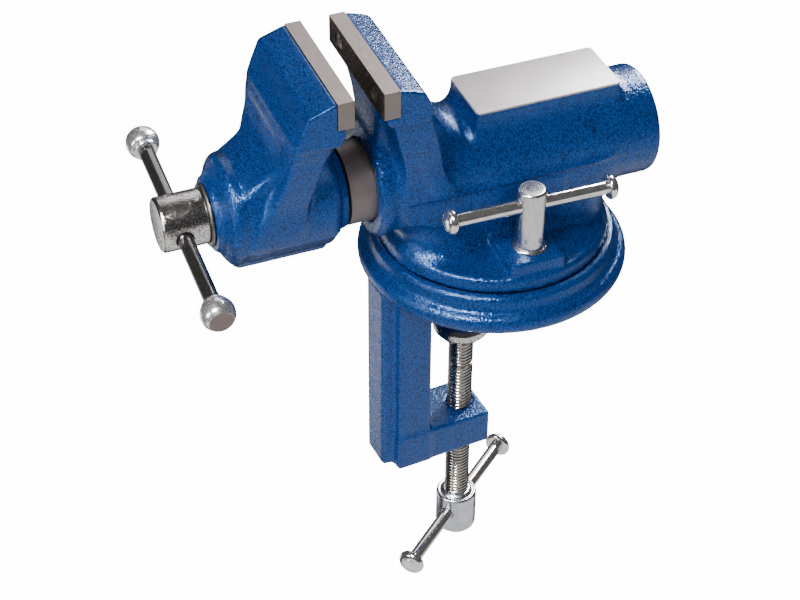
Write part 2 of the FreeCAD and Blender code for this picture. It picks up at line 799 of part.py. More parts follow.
def make_main_nut():
    """Round nut inside the slide, with a stem down through the key slot into the body."""
    body = new_body("main_nut")
    half = "nut_length / 2"
    ring = circles(body, "YZ_Plane", [(0, "screw_height")], "nut_radius",
                   f"nut_centre - {half}")
    pad(body, ring, "nut_length")
    stem = rectangle(
        body, "XY_Plane", "nut_centre - nut_stem_length / 2", "nut_centre + nut_stem_length / 2",
        "-nut_stem_width / 2", "nut_stem_width / 2", "nut_stem_low",
    )
    pad(body, stem, "screw_height - nut_stem_low - screw_radius - run_out")
    bore = circles(body, "YZ_Plane", [(0, "screw_height")], "screw_bore_radius",
                   f"nut_centre - {half}")
    pocket(body, bore, "nut_length", reverse=True)
    tapped = circles(body, "XY_Plane", [("nut_centre", 0)], "nut_screw_radius", "nut_stem_low")
    pocket(body, tapped, "nut_screw_top - nut_stem_low + tapped_hole_room", reverse=True)

    screw = turned("nut_screw", [
        (0, "nut_screw_seat - nut_screw_head"),
        ("nut_screw_head_radius", "nut_screw_seat - nut_screw_head"),
        ("nut_screw_head_radius", "nut_screw_seat"),
        ("nut_screw_radius", "nut_screw_seat"),
        ("nut_screw_radius", "nut_screw_top"),
        (0, "nut_screw_top"),
    ])
    socket = circles(screw, "XY_Plane", [(0, 0)], "nut_screw_socket",
                     "nut_screw_seat - nut_screw_head")
    pocket(screw, socket, "nut_screw_head / 2", reverse=True)
    place(screw, x=dim("nut_centre"))


# ---------------------------------------------------------------------------------------------
# Handle bars with their ends
# ---------------------------------------------------------------------------------------------
def make_bar(label, radius, low, high, centre, turn):
    """A round bar along its own Z axis from low to high."""
    bar = turned(label, [
        (0, low),
        (f"{radius} - bar_bevel", low),
        (radius, f"{low} + bar_bevel"),
        (radius, f"{high} - bar_bevel"),
        (f"{radius} - bar_bevel", high),
        (0, high),
    ])
    place(bar, *centre, turn=turn)


# Ball knob's profile: share of its full radius, at a share of its half length from its middle.
KNOB_PROFILE = [(0.68, -1), (0.9, -0.62), (1, -0.1), (0.98, 0.35), (0.86, 0.75)]
KNOB_SEAT = 0.45
# Button's profile: how far inside its full radius, at a share of its length from the bar side.
BUTTON_PROFILE = [(0.8, 0), (0, 0.18), (0, 0.5), (0.9, 0.84)]
BUTTON_SEAT = 0.7


def make_ball_knob(label, at, sign, centre, turn):
    """Bulging knob with a flat end face, pressed on a bar end about the height at."""
    def height(share):
        return f"{at} + {sign} * ({share}) * main_knob_length / 2"

    profile = [("main_bar_radius", height(-1))]
    profile += [(f"main_knob_radius * {r}", height(share)) for r, share in KNOB_PROFILE]
    profile += [
        ("main_knob_face", height(1)),
        (0, height(1)),
        (0, height(KNOB_SEAT)),
        ("main_bar_radius", height(KNOB_SEAT)),
    ]
    place(turned(label, profile), *centre, turn=turn)


def make_button(label, radius, at, sign, centre, turn):
    """Mushroom end of a small bar, with its widest edge near the bar side."""
    def height(share):
        return f"{at} + {sign} * {share} * button_length"

    profile = [("small_bar_radius", height(0))]
    profile += [(f"{radius} - {inside}", height(share)) for inside, share in BUTTON_PROFILE]
    profile += [
        ("button_face", height(1)),
        (0, height(1)),
        (0, height(BUTTON_SEAT)),
        ("small_bar_radius", height(BUTTON_SEAT)),
    ]
    place(turned(label, profile), *centre, turn=turn)


def make_main_handle():
    """Bar that slides through the main screw's head, with a knob at each end."""
    centre = (dim("main_bar_x"), 0, dim("screw_height"))
    along = about("X", dim("main_bar_tilt") - 90)
    reach = f"main_knob_length / 2 * {KNOB_SEAT}"
    make_bar("main_handle_bar", "main_bar_radius", f"-(main_bar_near + {reach})",
             f"main_bar_far + {reach}", centre, along)
    make_ball_knob("main_handle_knob_near", "-main_bar_near", -1, centre, along)
    make_ball_knob("main_handle_knob_far", "main_bar_far", 1, centre, along)


def make_small_handle(name, button_radius, half, centre, along):
    """Bar with a button at each end, for the lock screw or the clamp screw."""
    face = f"({half} - button_length / 2)"
    reach = f"button_length * {BUTTON_SEAT}"
    make_bar(f"{name}_bar", "small_bar_radius", f"-({face} + {reach})", f"{face} + {reach}",
             centre, along)
    make_button(f"{name}_end_front", button_radius, f"-{face}", -1, centre, along)
    make_button(f"{name}_end_rear", button_radius, face, 1, centre, along)


# ---------------------------------------------------------------------------------------------
# Swivel pivot and lock
# ---------------------------------------------------------------------------------------------
def make_pivot_screw():
    """Shoulder screw, put in through the slide bore, that holds the body down on the disc."""
    body = turned("pivot_screw", [
        (0, "pivot_thread_low"),
        ("pivot_thread_radius", "pivot_thread_low"),
        ("pivot_thread_radius", "base_thickness + pivot_shoulder_gap"),
        ("pivot_radius", "base_thickness + pivot_shoulder_gap"),
        ("pivot_radius", "pivot_head_low"),
        ("pivot_head_radius", "pivot_head_low"),
        ("pivot_head_radius", "pivot_head_top"),
        ("pivot_socket_radius", "pivot_head_top"),
        ("pivot_socket_radius", "pivot_head_top - pivot_socket_depth"),
        (0, "pivot_head_top - pivot_socket_depth"),
    ])
    place(body)


def make_lock():
    """Lock screw with its washer, and the curved nut that rides in the base's ring slot."""
    seat = "lock_boss_top + lock_washer_thickness"
    screw = turned("lock_screw", [
        (0, "lock_shank_low"),
        ("lock_shank_radius - lock_shank_bevel", "lock_shank_low"),
        ("lock_shank_radius", "lock_shank_low + lock_shank_bevel"),
        ("lock_shank_radius", seat),
        ("lock_head_radius + lock_head_flare", seat),
        ("lock_head_radius", f"{seat} + lock_head_flare_height"),
        ("lock_head_radius", "lock_head_top - lock_head_edge"),
        ("lock_head_radius - lock_head_edge", "lock_head_top"),
        (0, "lock_head_top"),
    ])
    hole = circles(screw, "XZ_Plane", [(0, "lock_bar_height")], "small_bar_hole")
    pocket(screw, hole, "lock_head_radius * 2 + run_out", midplane=True)
    at = {"x": dim("lock_x"), "y": dim("lock_y")}
    place(screw, **at, turn=about("Z", dim("lock_bar_turn") + 90))

    washer = turned("lock_washer", [
        ("lock_hole_radius", "lock_boss_top"),
        ("lock_washer_radius", "lock_boss_top"),
        ("lock_washer_radius", seat),
        ("lock_hole_radius", seat),
    ])
    place(washer, **at)

    nut = new_body("lock_nut")
    half = "lock_nut_width / 2"
    section = rectangle(
        nut, "XZ_Plane", f"ring_radius - {half}", f"ring_radius + {half}",
        "lock_nut_low", "lock_nut_low + lock_nut_height",
    )
    revolve(nut, section, "V_Axis", angle=dim("lock_nut_angle"), midplane=True)
    bore = circles(nut, "XY_Plane", [("ring_radius", 0)], "lock_nut_bore", "lock_nut_low")
    pocket(nut, bore, "lock_nut_height", reverse=True)
    around = math.degrees(math.atan2(dim("lock_y"), dim("lock_x")))
    place(nut, turn=about("Z", around))


# ---------------------------------------------------------------------------------------------
# Clamp screw and pad
# ---------------------------------------------------------------------------------------------
def clamp_centre(height=0.0):
    """A point on the clamp screw's axis, in the row frame."""
    turn = math.radians(dim("base_turn"))
    offset = dim("clamp_axis")
    return (offset * math.cos(turn), offset * math.sin(turn), height)


def make_clamp_screw():
    """Turned screw with a drilled head below, and a tip held in the pad by a riveted ring."""
    tip_top = "pad_top - clamp_tip_drop"
    body = turned("clamp_screw", [
        (0, "clamp_head_low"),
        ("clamp_head_radius - clamp_head_edge", "clamp_head_low"),
        ("clamp_head_radius", "clamp_head_low + clamp_head_edge"),
        ("clamp_head_radius", "clamp_head_top - clamp_head_edge"),
        ("clamp_head_radius - clamp_head_edge", "clamp_head_top"),
        ("clamp_screw_radius", "clamp_head_top"),
        ("clamp_screw_radius", "clamp_screw_shoulder"),
        ("clamp_tip_radius", "clamp_screw_shoulder"),
        ("clamp_tip_radius", tip_top),
        (0, tip_top),
    ])
    hole = circles(body, "XZ_Plane", [(0, "clamp_bar_height")], "small_bar_hole")
    pocket(body, hole, "clamp_head_radius * 2 + run_out", midplane=True)
    place(body, *clamp_centre(), turn=about("Z", dim("clamp_bar_turn") + 90))

    floor = "pad_top - pad_recess_depth"
    pad_body = turned("clamp_pad", [
        ("pad_bore_radius", "pad_low"),
        ("pad_low_radius", "pad_low"),
        ("pad_radius", "pad_rim_low"),
        ("pad_radius", "pad_rim_high"),
        ("pad_face_radius", "pad_top"),
        ("pad_recess_radius", "pad_top"),
        ("pad_recess_radius", floor),
        ("pad_bore_radius", floor),
    ])
    place(pad_body, *clamp_centre())

    ring_low = f"{floor} + retainer_gap"
    ring = turned("pad_retainer", [
        ("clamp_tip_radius", ring_low),
        ("retainer_radius", ring_low),
        ("retainer_radius", f"{ring_low} + retainer_thickness"),
        ("clamp_tip_radius", f"{ring_low} + retainer_thickness"),
    ])
    place(ring, *clamp_centre())


def check_document():
    """Stop if any object failed, or any sub-part has no valid closed shape."""
    doc.recompute()
    for item in doc.Objects:
        if "Invalid" in item.State or "Error" in item.State:
            raise RuntimeError(f"{item.Name} failed: {item.State}")
    for item in subparts:
        shape = item.Shape
        if shape.isNull() or not shape.isValid() or not shape.Solids:
            raise RuntimeError(f"{item.Label} has no valid solid")


def write_steps():
    """One STEP file per sub-part, named after its label."""
    os.makedirs("parts", exist_ok=True)
    for item in subparts:
        item.Shape.exportStep(f"parts/{item.Label}.step")


make_clamp_frame()
make_vise_body()
make_moving_jaw()
moving_face = dim("fixed_face") - dim("jaw_gap")
make_jaw_plate("fixed_jaw_plate", dim("fixed_face"), -1)
make_jaw_plate("moving_jaw_plate", moving_face, 1)
make_plate_screws("fixed_plate_screws", dim("fixed_face"), -1)
make_plate_screws("moving_plate_screws", moving_face, 1)
make_main_screw()
make_main_nut()
make_main_handle()
make_pivot_screw()
make_lock()
make_small_handle(
    "lock_handle",
    "lock_button_radius",
    "lock_bar_half",
    (dim("lock_x"), dim("lock_y"), dim("lock_bar_height")),
    about("Z", dim("lock_bar_turn")).multiply(about("Y", 90)),
)
make_clamp_screw()
make_small_handle(
    "clamp_handle",
    "clamp_button_radius",
    "clamp_bar_half",
    clamp_centre(dim("clamp_bar_height")),
    about("Z", dim("clamp_bar_turn")).multiply(about("Y", 90)),
)
check_document()
write_steps()
for item in subparts:
    print(f"{item.Label}: {len(item.Shape.Solids)} solid, {item.Shape.Volume:.0f} mm3")
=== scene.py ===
import math

import bmesh
import bpy
import numpy as np
from mathutils import Matrix, Vector


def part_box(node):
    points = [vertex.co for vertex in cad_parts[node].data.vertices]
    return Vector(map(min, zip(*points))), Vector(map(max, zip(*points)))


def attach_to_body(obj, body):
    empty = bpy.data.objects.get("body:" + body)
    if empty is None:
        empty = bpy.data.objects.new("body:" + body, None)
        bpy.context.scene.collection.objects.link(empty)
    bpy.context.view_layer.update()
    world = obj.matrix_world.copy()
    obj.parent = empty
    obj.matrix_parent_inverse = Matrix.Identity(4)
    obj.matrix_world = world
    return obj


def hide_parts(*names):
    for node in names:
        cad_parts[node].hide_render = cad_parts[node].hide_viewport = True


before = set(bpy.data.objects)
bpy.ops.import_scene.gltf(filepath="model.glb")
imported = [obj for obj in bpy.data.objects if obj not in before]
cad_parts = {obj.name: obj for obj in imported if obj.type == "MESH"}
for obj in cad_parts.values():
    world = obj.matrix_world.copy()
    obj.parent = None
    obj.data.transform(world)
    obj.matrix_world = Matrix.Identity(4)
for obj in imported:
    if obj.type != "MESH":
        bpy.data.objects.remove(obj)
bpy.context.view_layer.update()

# Clamp-on swivel bench vise. Lengths are in millimetres in the shared frame, and the meshes are
# scaled to metres when they are made. Materials, lights and camera are in metres.
MM = 0.001
SCREW_HEIGHT = 61.0  # main screw's axis above the underside of the base disc
BASE_TURN = math.radians(4.2)  # how far the base is turned under the body
CELL = 0.8  # grid step of the castings
JAW_HALF = 35.0
JAW_TOP = 130.0
PLATE_SEAT = 116.2  # underside of both jaw plates
BARREL_RADIUS = 26.5
BARREL_BORE = 19.75
SLIDE_RADIUS = 19.5
SLIDE_BORE = 12.8
ANVIL_X = (-17.3, 55.5)
ANVIL_HALF = 16.5
ANVIL_TOP = 95.2
LOCK_X, LOCK_Y = 1.0, -40.0
CLAMP_X = -15.0
THROUGH = 200.0  # half length of a cut that goes right through


# Implicit casting shapes: signed distances on a grid, negative inside
class Field:
    """A grid of points between two corners, kept as three broadcastable axes."""

    def __init__(self, low, high, cell):
        self.cell = cell
        self.low = np.array(low, np.float32) - 2.37 * cell
        counts = [int((b - a) / cell) + 6 for a, b in zip(low, high)]
        axes = [self.low[i] + cell * np.arange(n, dtype=np.float32) for i, n in enumerate(counts)]
        self.x = axes[0][:, None, None]
        self.y = axes[1][None, :, None]
        self.z = axes[2][None, None, :]
        self.span = np.abs(self.y)

    def rod_x(self, radius, start, end, edge):
        """Round bar along the main screw's axis, with rounded ends."""
        side = np.sqrt(self.y**2 + (self.z - SCREW_HEIGHT) ** 2) - radius
        along = np.maximum(start - self.x, self.x - end)
        return corner(side, along, edge)

    def rod_z(self, radius, low, high, edge, x=0.0, y=0.0):
        """Round bar along Z with rounded ends."""
        side = np.sqrt((self.x - x) ** 2 + (self.y - y) ** 2) - radius
        along = np.maximum(low - self.z, self.z - high)
        return corner(side, along, edge)

    def block(self, x, y, z, edge):
        """Box between pairs of coordinates, with rounded edges."""
        gaps = [
            np.maximum(pair[0] - axis, axis - pair[1]) + edge
            for axis, pair in ((self.x, x), (self.y, y), (self.z, z))
        ]
        outside = np.sqrt(sum(np.maximum(g, 0.0) ** 2 for g in gaps))
        inside = np.minimum(np.maximum(np.maximum(gaps[0], gaps[1]), gaps[2]), 0.0)
        return outside + inside - edge

    def profile_y(self, corners, half, edge, side_edge):
        """Convex outline in the XZ plane, as wide as half on both sides of y = 0."""
        middle = np.mean(np.array(corners), axis=0)
        flat = None
        for (x0, z0), (x1, z1) in zip(corners, corners[1:] + corners[:1]):
            length = math.hypot(x1 - x0, z1 - z0)
            nx, nz = (z1 - z0) / length, (x0 - x1) / length
            if (middle[0] - x0) * nx + (middle[1] - z0) * nz > 0:
                nx, nz = -nx, -nz
            plane = (self.x - x0) * nx + (self.z - z0) * nz
            flat = plane if flat is None else both(flat, plane, edge)
        return both(flat, self.span - half, side_edge)

    def turned_z(self, profile):
        """Closed (radius, height) outline turned about the Z axis."""
        radius = np.sqrt(self.x[:, :, 0] ** 2 + self.y[0, :, 0][None, :] ** 2)
        step = 0.25
        steps = np.arange(0.0, float(radius.max()) + 2 * step, step, dtype=np.float32)
        table = outline_distance(steps[:, None], self.z[0, 0][None, :], profile)
        index = (radius / step).astype(np.int32)
        share = (radius / step - index)[:, :, None]
        return table[index] * (1 - share) + table[index + 1] * share

    def tapered(self, stations, edge):
        """Web whose front, rear and half width follow stations of (height, front, rear, half)."""
        heights, fronts, rears, halves = zip(*stations)
        front = np.interp(self.z, heights, fronts).astype(np.float32)
        rear = np.interp(self.z, heights, rears).astype(np.float32)
        half = np.interp(self.z, heights, halves).astype(np.float32)
        plan = both(both(front - self.x, self.x - rear, edge), self.span - half, edge)
        return np.maximum(plan, np.maximum(heights[0] - self.z, self.z - heights[-1]))


def outline_distance(u, v, points):
    """Signed distance from a closed outline, for any points (u, v)."""
    nearest = np.full(np.broadcast(u, v).shape, 1e9, np.float32)
    inside = np.zeros(nearest.shape, bool)
    for (u0, v0), (u1, v1) in zip(points, points[1:] + points[:1]):
        du, dv = u1 - u0, v1 - v0
        along = np.clip(((u - u0) * du + (v - v0) * dv) / (du * du + dv * dv), 0.0, 1.0)
        nearest = np.minimum(nearest, (u - u0 - along * du) ** 2 + (v - v0 - along * dv) ** 2)
        if v0 != v1:
            crosses = ((v0 > v) != (v1 > v)) & (u < u0 + (v - v0) * du / dv)
            inside ^= crosses
    return np.where(inside, -np.sqrt(nearest), np.sqrt(nearest)).astype(np.float32)


def corner(a, b, edge):
    """Intersection of two walls with a round edge of the given radius."""
    a, b = a + edge, b + edge
    outside = np.sqrt(np.maximum(a, 0.0) ** 2 + np.maximum(b, 0.0) ** 2)
    return outside + np.minimum(np.maximum(a, b), 0.0) - edge


def join(a, b, blend):
    """Union with a fillet of about the given radius."""
    share = np.maximum(blend - np.abs(a - b), 0.0) / blend
    return np.minimum(a, b) - share * share * blend * 0.25


def both(a, b, blend):
    """Intersection with a rounded edge."""
    return -join(-a, -b, blend)


def carve(a, b, blend):
    """a with b cut out of it."""
    return -join(-a, b, blend)


def net(field, values):
    """Corner points and quads of the surface where values change sign."""
    sides = [(i, j, k) for i in (0, 1) for j in (0, 1) for k in (0, 1)]
    nx, ny, nz = (n - 1 for n in values.shape)
    parts = [values[i:nx + i, j:ny + j, k:nz + k] for i, j, k in sides]
    count = sum((part < 0).astype(np.int8) for part in parts)
    cells = np.argwhere((count > 0) & (count < 8))
    at = tuple(cells.T)
    values8 = [part[at] for part in parts]
    corners8 = np.array(sides, np.float32)
    total = np.zeros((len(cells), 3), np.float32)
    hits = np.zeros(len(cells), np.float32)
    for a, b in ((a, b) for a in range(8) for b in range(a + 1, 8)):
        if np.abs(corners8[a] - corners8[b]).sum() != 1:
            continue
        crossed = (values8[a] < 0) != (values8[b] < 0)
        gap = np.where(crossed, values8[a] - values8[b], 1.0)
        point = corners8[a] + (values8[a] / gap)[:, None] * (corners8[b] - corners8[a])
        total += np.where(crossed[:, None], point, 0.0)
        hits += crossed
    points = field.low + (cells + total / hits[:, None]) * field.cell
    number = np.full(count.shape, -1, np.int32)
    number[at] = np.arange(len(cells))
    inside = values < 0
    quads = []
    for axis in range(3):
        others = [i for i in range(3) if i != axis]
        ahead, behind = ([slice(1, -1)] * 3 for _ in range(2))
        ahead[axis], behind[axis] = slice(1, None), slice(None, -1)
        leaving = inside[tuple(behind)]
        base = np.argwhere(inside[tuple(ahead)] != leaving)
        outward = leaving[tuple(base.T)]
        base[:, others] += 1
        ring = []
        for steps in ((0, 0), (-1, 0), (-1, -1), (0, -1)):
            spot = base.copy()
            spot[:, others] += steps
            ring.append(number[tuple(spot.T)])
        ring = np.stack(ring, axis=1)
        flip = outward if axis == 1 else ~outward
        ring[flip] = ring[flip][:, ::-1]
        quads.append(ring)
    return points, np.concatenate(quads)


def relax(points, quads, rounds):
    """Even out a net by moving each point towards the middle of its neighbours, and back."""
    forth, back = 0.5, -0.52
    a = np.tile(quads.T.ravel(), 2)
    b = np.concatenate([np.roll(quads, turn, axis=1).T.ravel() for turn in (-1, 1)])
    degree = np.bincount(a, minlength=len(points)).astype(np.float32)[:, None]
    for turn in range(rounds):
        sums = [np.bincount(a, weights=points[b, i], minlength=len(points)) for i in range(3)]
        mean = np.stack(sums, axis=1) / degree
        points = points + (forth if turn % 2 == 0 else back) * (mean - points)
    return points


def new_object(name, data):
    """A new object in the scene."""
    obj = bpy.data.objects.new(name, data)
    bpy.context.scene.collection.objects.link(obj)
    return obj


def mesh_piece(name, points, faces, material):
    """A mesh object from points in millimetres."""
    mesh = bpy.data.meshes.new(name)
    mesh.from_pydata((np.asarray(points, float) * MM).tolist(), [], [list(f) for f in faces])
    mesh.validate()
    mesh.polygons.foreach_set("use_smooth", [True] * len(mesh.polygons))
    mesh.materials.append(material)
    return new_object(name, mesh)


def cast_piece(name, field, values, rounds=2, turn=0.0):
    """A painted casting's mesh from its distance field, turned about Z."""
    points, quads = net(field, values)
    points = relax(points, quads, rounds)
    if turn:
        points = points @ np.array(Matrix.Rotation(turn, 3, "Z")).T
    return mesh_piece(name, points, quads, PAINT)


def attach(obj, body, node):
    """Set what a piece moves with, and hide the CAD node that it stands for."""
    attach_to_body(obj, body)
    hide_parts(node)


# Materials
class Nodes:
    """A material's node tree with short calls for the nodes used here."""

    def __init__(self, name):
        self.material = bpy.data.materials.new(name)
        self.material.use_nodes = True
        self.tree = self.material.node_tree
        self.tree.nodes.clear()
        self.shader = self.node("BsdfPrincipled")
        self.node("OutputMaterial", {0: self.shader.outputs[0]})
        self.place = self.node("TexCoord").outputs["Object"]

    def put(self, socket, value):
        """Link value if it is a socket, and otherwise set it."""
        if isinstance(value, bpy.types.NodeSocket):
            self.tree.links.new(value, socket)
        elif value is not None:
            socket.default_value = value

    def node(self, kind, inputs=(), **settings):
        """A new node with its settings, and its inputs by name or number."""
        made = self.tree.nodes.new("ShaderNode" + kind)
        for name, value in settings.items():
            setattr(made, name, value)
        for name, value in dict(inputs).items():
            self.put(made.inputs[name], value)
        return made

    def set(self, **values):
        """Set or link the shader's inputs, with _ for a space in their names."""
        for name, value in values.items():
            self.put(self.shader.inputs[name.replace("_", " ")], value)

    def stretch(self, scale):
        """The object's own coordinates, scaled."""
        return self.node("Mapping", {"Vector": self.place, "Scale": scale}).outputs[0]

    def noise(self, scale, detail=2.0, rough=0.5, at=None):
        """Cloudy values around 0.5."""
        inputs = {"Vector": at or self.place, "Scale": scale, "Detail": detail, "Roughness": rough}
        return self.node("TexNoise", inputs).outputs["Fac"]

    def cell_edges(self, scale, at):
        """Distance to the nearest border of irregular cells."""
        cells = self.node("TexVoronoi", {"Vector": at, "Scale": scale}, feature="DISTANCE_TO_EDGE")
        return cells.outputs["Distance"]

    def ramp(self, value, low, high, out_low=0.0, out_high=1.0, smooth=True):
        """value from low to high, brought to out_low to out_high and held there outside."""
        inputs = {"Value": value, "From Min": low, "From Max": high, "To Min": out_low,
                  "To Max": out_high}
        kind = "SMOOTHSTEP" if smooth else "LINEAR"
        return self.node("MapRange", inputs, interpolation_type=kind).outputs["Result"]

    def axes(self):
        """The object's own X, Y and Z, apart."""
        return self.node("SeparateXYZ", {0: self.place}).outputs

    def math(self, kind, a, b=None):
        """Result of one sum on numbers or sockets."""
        return self.node("Math", {0: a, 1: b}, operation=kind).outputs[0]

    def reach(self, a, b):
        """Distance from the origin of the point (a, b)."""
        squares = [self.math("MULTIPLY", side, side) for side in (a, b)]
        return self.math("SQRT", self.math("ADD", *squares))

    def mix(self, share, a, b):
        """Colour between a and b."""
        return self.node("Mix", {0: share, 6: a, 7: b}, data_type="RGBA").outputs[2]

    def shifted(self, amount, scale):
        """Coordinates pushed about by noise, so that a pattern on them looks irregular."""
        source = self.node("TexNoise", {"Vector": self.place, "Scale": scale})
        centred = self.node("VectorMath", {0: source.outputs["Color"], 1: (0.5, 0.5, 0.5)},
                            operation="SUBTRACT")
        push = self.node("VectorMath", {0: centred.outputs[0], 1: (amount,) * 3, 2: self.place},
                         operation="MULTIPLY_ADD")
        return push.outputs[0]

    def bump(self, height, strength, distance, under=None):
        """Normals of a relief, laid over those of another one."""
        inputs = {"Strength": strength, "Distance": distance, "Height": height, "Normal": under}
        return self.node("Bump", inputs).outputs[0]


def colour(*levels):
    """Linear colour from a display's red, green and blue of 0 to 255."""
    shares = [level / 255.0 for level in levels]
    linear = [v / 12.92 if v <= 0.04045 else ((v + 0.055) / 1.055) ** 2.4 for v in shares]
    return (*linear, 1.0)


# Noise scales, in waves per metre
CELLS_SCALE, FINE_SCALE, BROAD_SCALE, PEEL_SCALE, GRAIN_SCALE = 670.0, 2300.0, 38.0, 430.0, 1250.0
LINE_SCALE_ACROSS, LINE_SCALE_ALONG = 5200.0, 120.0
PIT_COLOUR = (0.02, 0.019, 0.018, 1.0)
PAINT_BLUE = (0.003, 0.056, 0.27, 1.0)
# light blue of the fine specks, painted sparkle highlights on the paint's bumps
PAINT_SPARKLE_HIGHLIGHT = (0.014, 0.15, 0.50, 1.0)
PAINT_DEEP = (0.002, 0.038, 0.20, 1.0)
PAINT_LINE = (0.001, 0.013, 0.07, 1.0)
# near-black blue of the painted shade in the seam between flange and disc
PAINT_SEAM_SHADE = (0.0005, 0.006, 0.03, 1.0)
SEAM_HEIGHT, SEAM_RADIUS = 18.1 * MM, 55.8 * MM


def darker(tint, share):
    """tint with each colour brought down to a share of itself."""
    return tuple(value * share for value in tint[:3]) + (1.0,)


def hammered_paint():
    """Glossy blue enamel that has drawn into small domed cells with darker lines between, with
    fine light specks of painted sparkle highlight and a thin line of painted shade in the seam
    between disc and flange."""
    n = Nodes("hammered_blue_paint")
    edge = n.cell_edges(CELLS_SCALE, n.shifted(0.0008, 900.0))
    fine = n.noise(FINE_SCALE, 3.0, 0.65)
    broad = n.noise(BROAD_SCALE, 3.0, 0.55)
    base = n.mix(n.ramp(edge, 0.0, 0.2), PAINT_LINE, PAINT_BLUE)
    # fine light specks: painted sparkle highlights
    base = n.mix(n.math("MULTIPLY", n.ramp(fine, 0.5, 0.78), 0.4), base, PAINT_SPARKLE_HIGHLIGHT)
    base = n.mix(n.math("MULTIPLY", n.ramp(broad, 0.35, 0.7), 0.3), base, PAINT_DEEP)
    x, y, z = n.axes()
    # thin ring of painted shade along the seam between flange and disc
    above = n.math("ABSOLUTE", n.math("SUBTRACT", z, SEAM_HEIGHT))
    beyond = n.math("ABSOLUTE", n.math("SUBTRACT", n.reach(x, y), SEAM_RADIUS))
    seam = n.math("MULTIPLY", n.ramp(above, 0.0002, 0.0005, 1.0, 0.0),
                  n.ramp(beyond, 0.0004, 0.0009, 1.0, 0.0))
    domes = n.math("SQRT", n.ramp(edge, 0.0, 0.3, smooth=False))
    surface = n.bump(domes, 0.5, 0.00012)
    surface = n.bump(n.noise(PEEL_SCALE), 0.7, 0.0004, surface)
    surface = n.bump(n.noise(GRAIN_SCALE, 2.0, 0.55), 0.6, 0.0003, surface)
    n.set(Base_Color=n.mix(seam, base, PAINT_SEAM_SHADE), Normal=surface, Specular_IOR_Level=0.62,
          Specular_Tint=(0.3, 0.5, 1.0, 1.0), Roughness=n.ramp(fine, 0.3, 0.7, 0.1, 0.2))
    return n.material


def ground_steel(name, tint, along, scratch=1.0, rough=(0.26, 0.42), metal=1.0, grit=0.3):
    """Ground or brushed steel, with fine lines along one axis."""
    n = Nodes(name)
    stretch = [LINE_SCALE_ACROSS] * 3
    stretch[along] = LINE_SCALE_ALONG
    lines = n.noise(1.0, 4.0, 0.6, n.stretch(tuple(stretch)))
    cloud = n.noise(60.0, 3.0, 0.55)
    speck = n.noise(1700.0, 2.0, 0.6)
    dull = darker(tint, 0.62)
    base = n.mix(n.ramp(lines, 0.3, 0.72), dull, tint)
    base = n.mix(n.ramp(cloud, 0.4, 0.75, 0.0, 0.35), base, dull)
    base = n.mix(n.ramp(speck, 0.5, 0.8, 0.0, grit), base, dull)
    relief = n.bump(lines, 0.22 * scratch, 0.00012)
    relief = n.bump(speck, 0.5 * grit, 0.00012, relief)
    n.set(Base_Color=base, Metallic=metal, Normal=relief,
          Roughness=n.ramp(lines, 0.25, 0.75, *rough))
    return n.material


def plated_steel(name, tint, rough, grain_scale, grain, metal=1.0, specks=0.0):
    """Nickel plate over a turned or cast surface. specks darkens the pits of a cast one."""
    n = Nodes(name)
    cloud = n.noise(140.0, 3.0, 0.6)
    pits = n.noise(grain_scale, 3.0, 0.6)
    base = n.mix(n.ramp(cloud, 0.35, 0.75), tint, darker(tint, 0.78))
    holes = n.noise(grain_scale * 0.8, 2.0, 0.6)
    base = n.mix(n.ramp(holes, 0.42, 0.62, 0.0, specks), base, PIT_COLOUR)
    n.set(Base_Color=base, Metallic=metal, Normal=n.bump(pits, grain, 0.0002),
          Roughness=n.ramp(pits, 0.3, 0.75, rough * 0.7, rough * 1.5))
    return n.material


def turned_steel(name, tint, centre, axis, rough, pitch=0.00035, metal=1.0):
    """Machined steel with rings about an axis through centre, on end faces too."""
    n = Nodes(name)
    places = n.axes()
    first, second = [n.math("SUBTRACT", places[i], centre[i]) for i in range(3) if i != axis]
    across = n.node("CombineXYZ", {0: n.math("MULTIPLY", n.reach(first, second), 1.0 / pitch),
                                   1: n.math("MULTIPLY", places[axis], 1.0 / pitch)})
    rings = n.noise(1.0, 2.0, 0.6, across.outputs[0])
    shade = darker(tint, 0.72)
    base = n.mix(n.ramp(rings, 0.3, 0.7, 0.35, 1.0), shade, tint)
    base = n.mix(n.ramp(n.noise(1500.0, 2.0, 0.6), 0.45, 0.75, 0.0, 0.5), base, shade)
    base = n.mix(n.ramp(n.noise(90.0, 3.0, 0.6), 0.4, 0.8, 0.0, 0.4), base, shade)
    n.set(Base_Color=base, Metallic=metal, Normal=n.bump(rings, 0.12, 0.00015),
          Roughness=n.ramp(rings, 0.3, 0.7, *rough))
    return n.material


PAINT = hammered_paint()
ANVIL_STEEL = ground_steel("ground_anvil_steel", colour(180, 173, 178), 0, 1.6, (0.45, 0.6),
                           0.55, 0.9)
PLATE_STEEL = ground_steel("brushed_plate_steel", colour(136, 126, 122), 1, rough=(0.3, 0.48),
                           metal=0.85, grit=0.5)
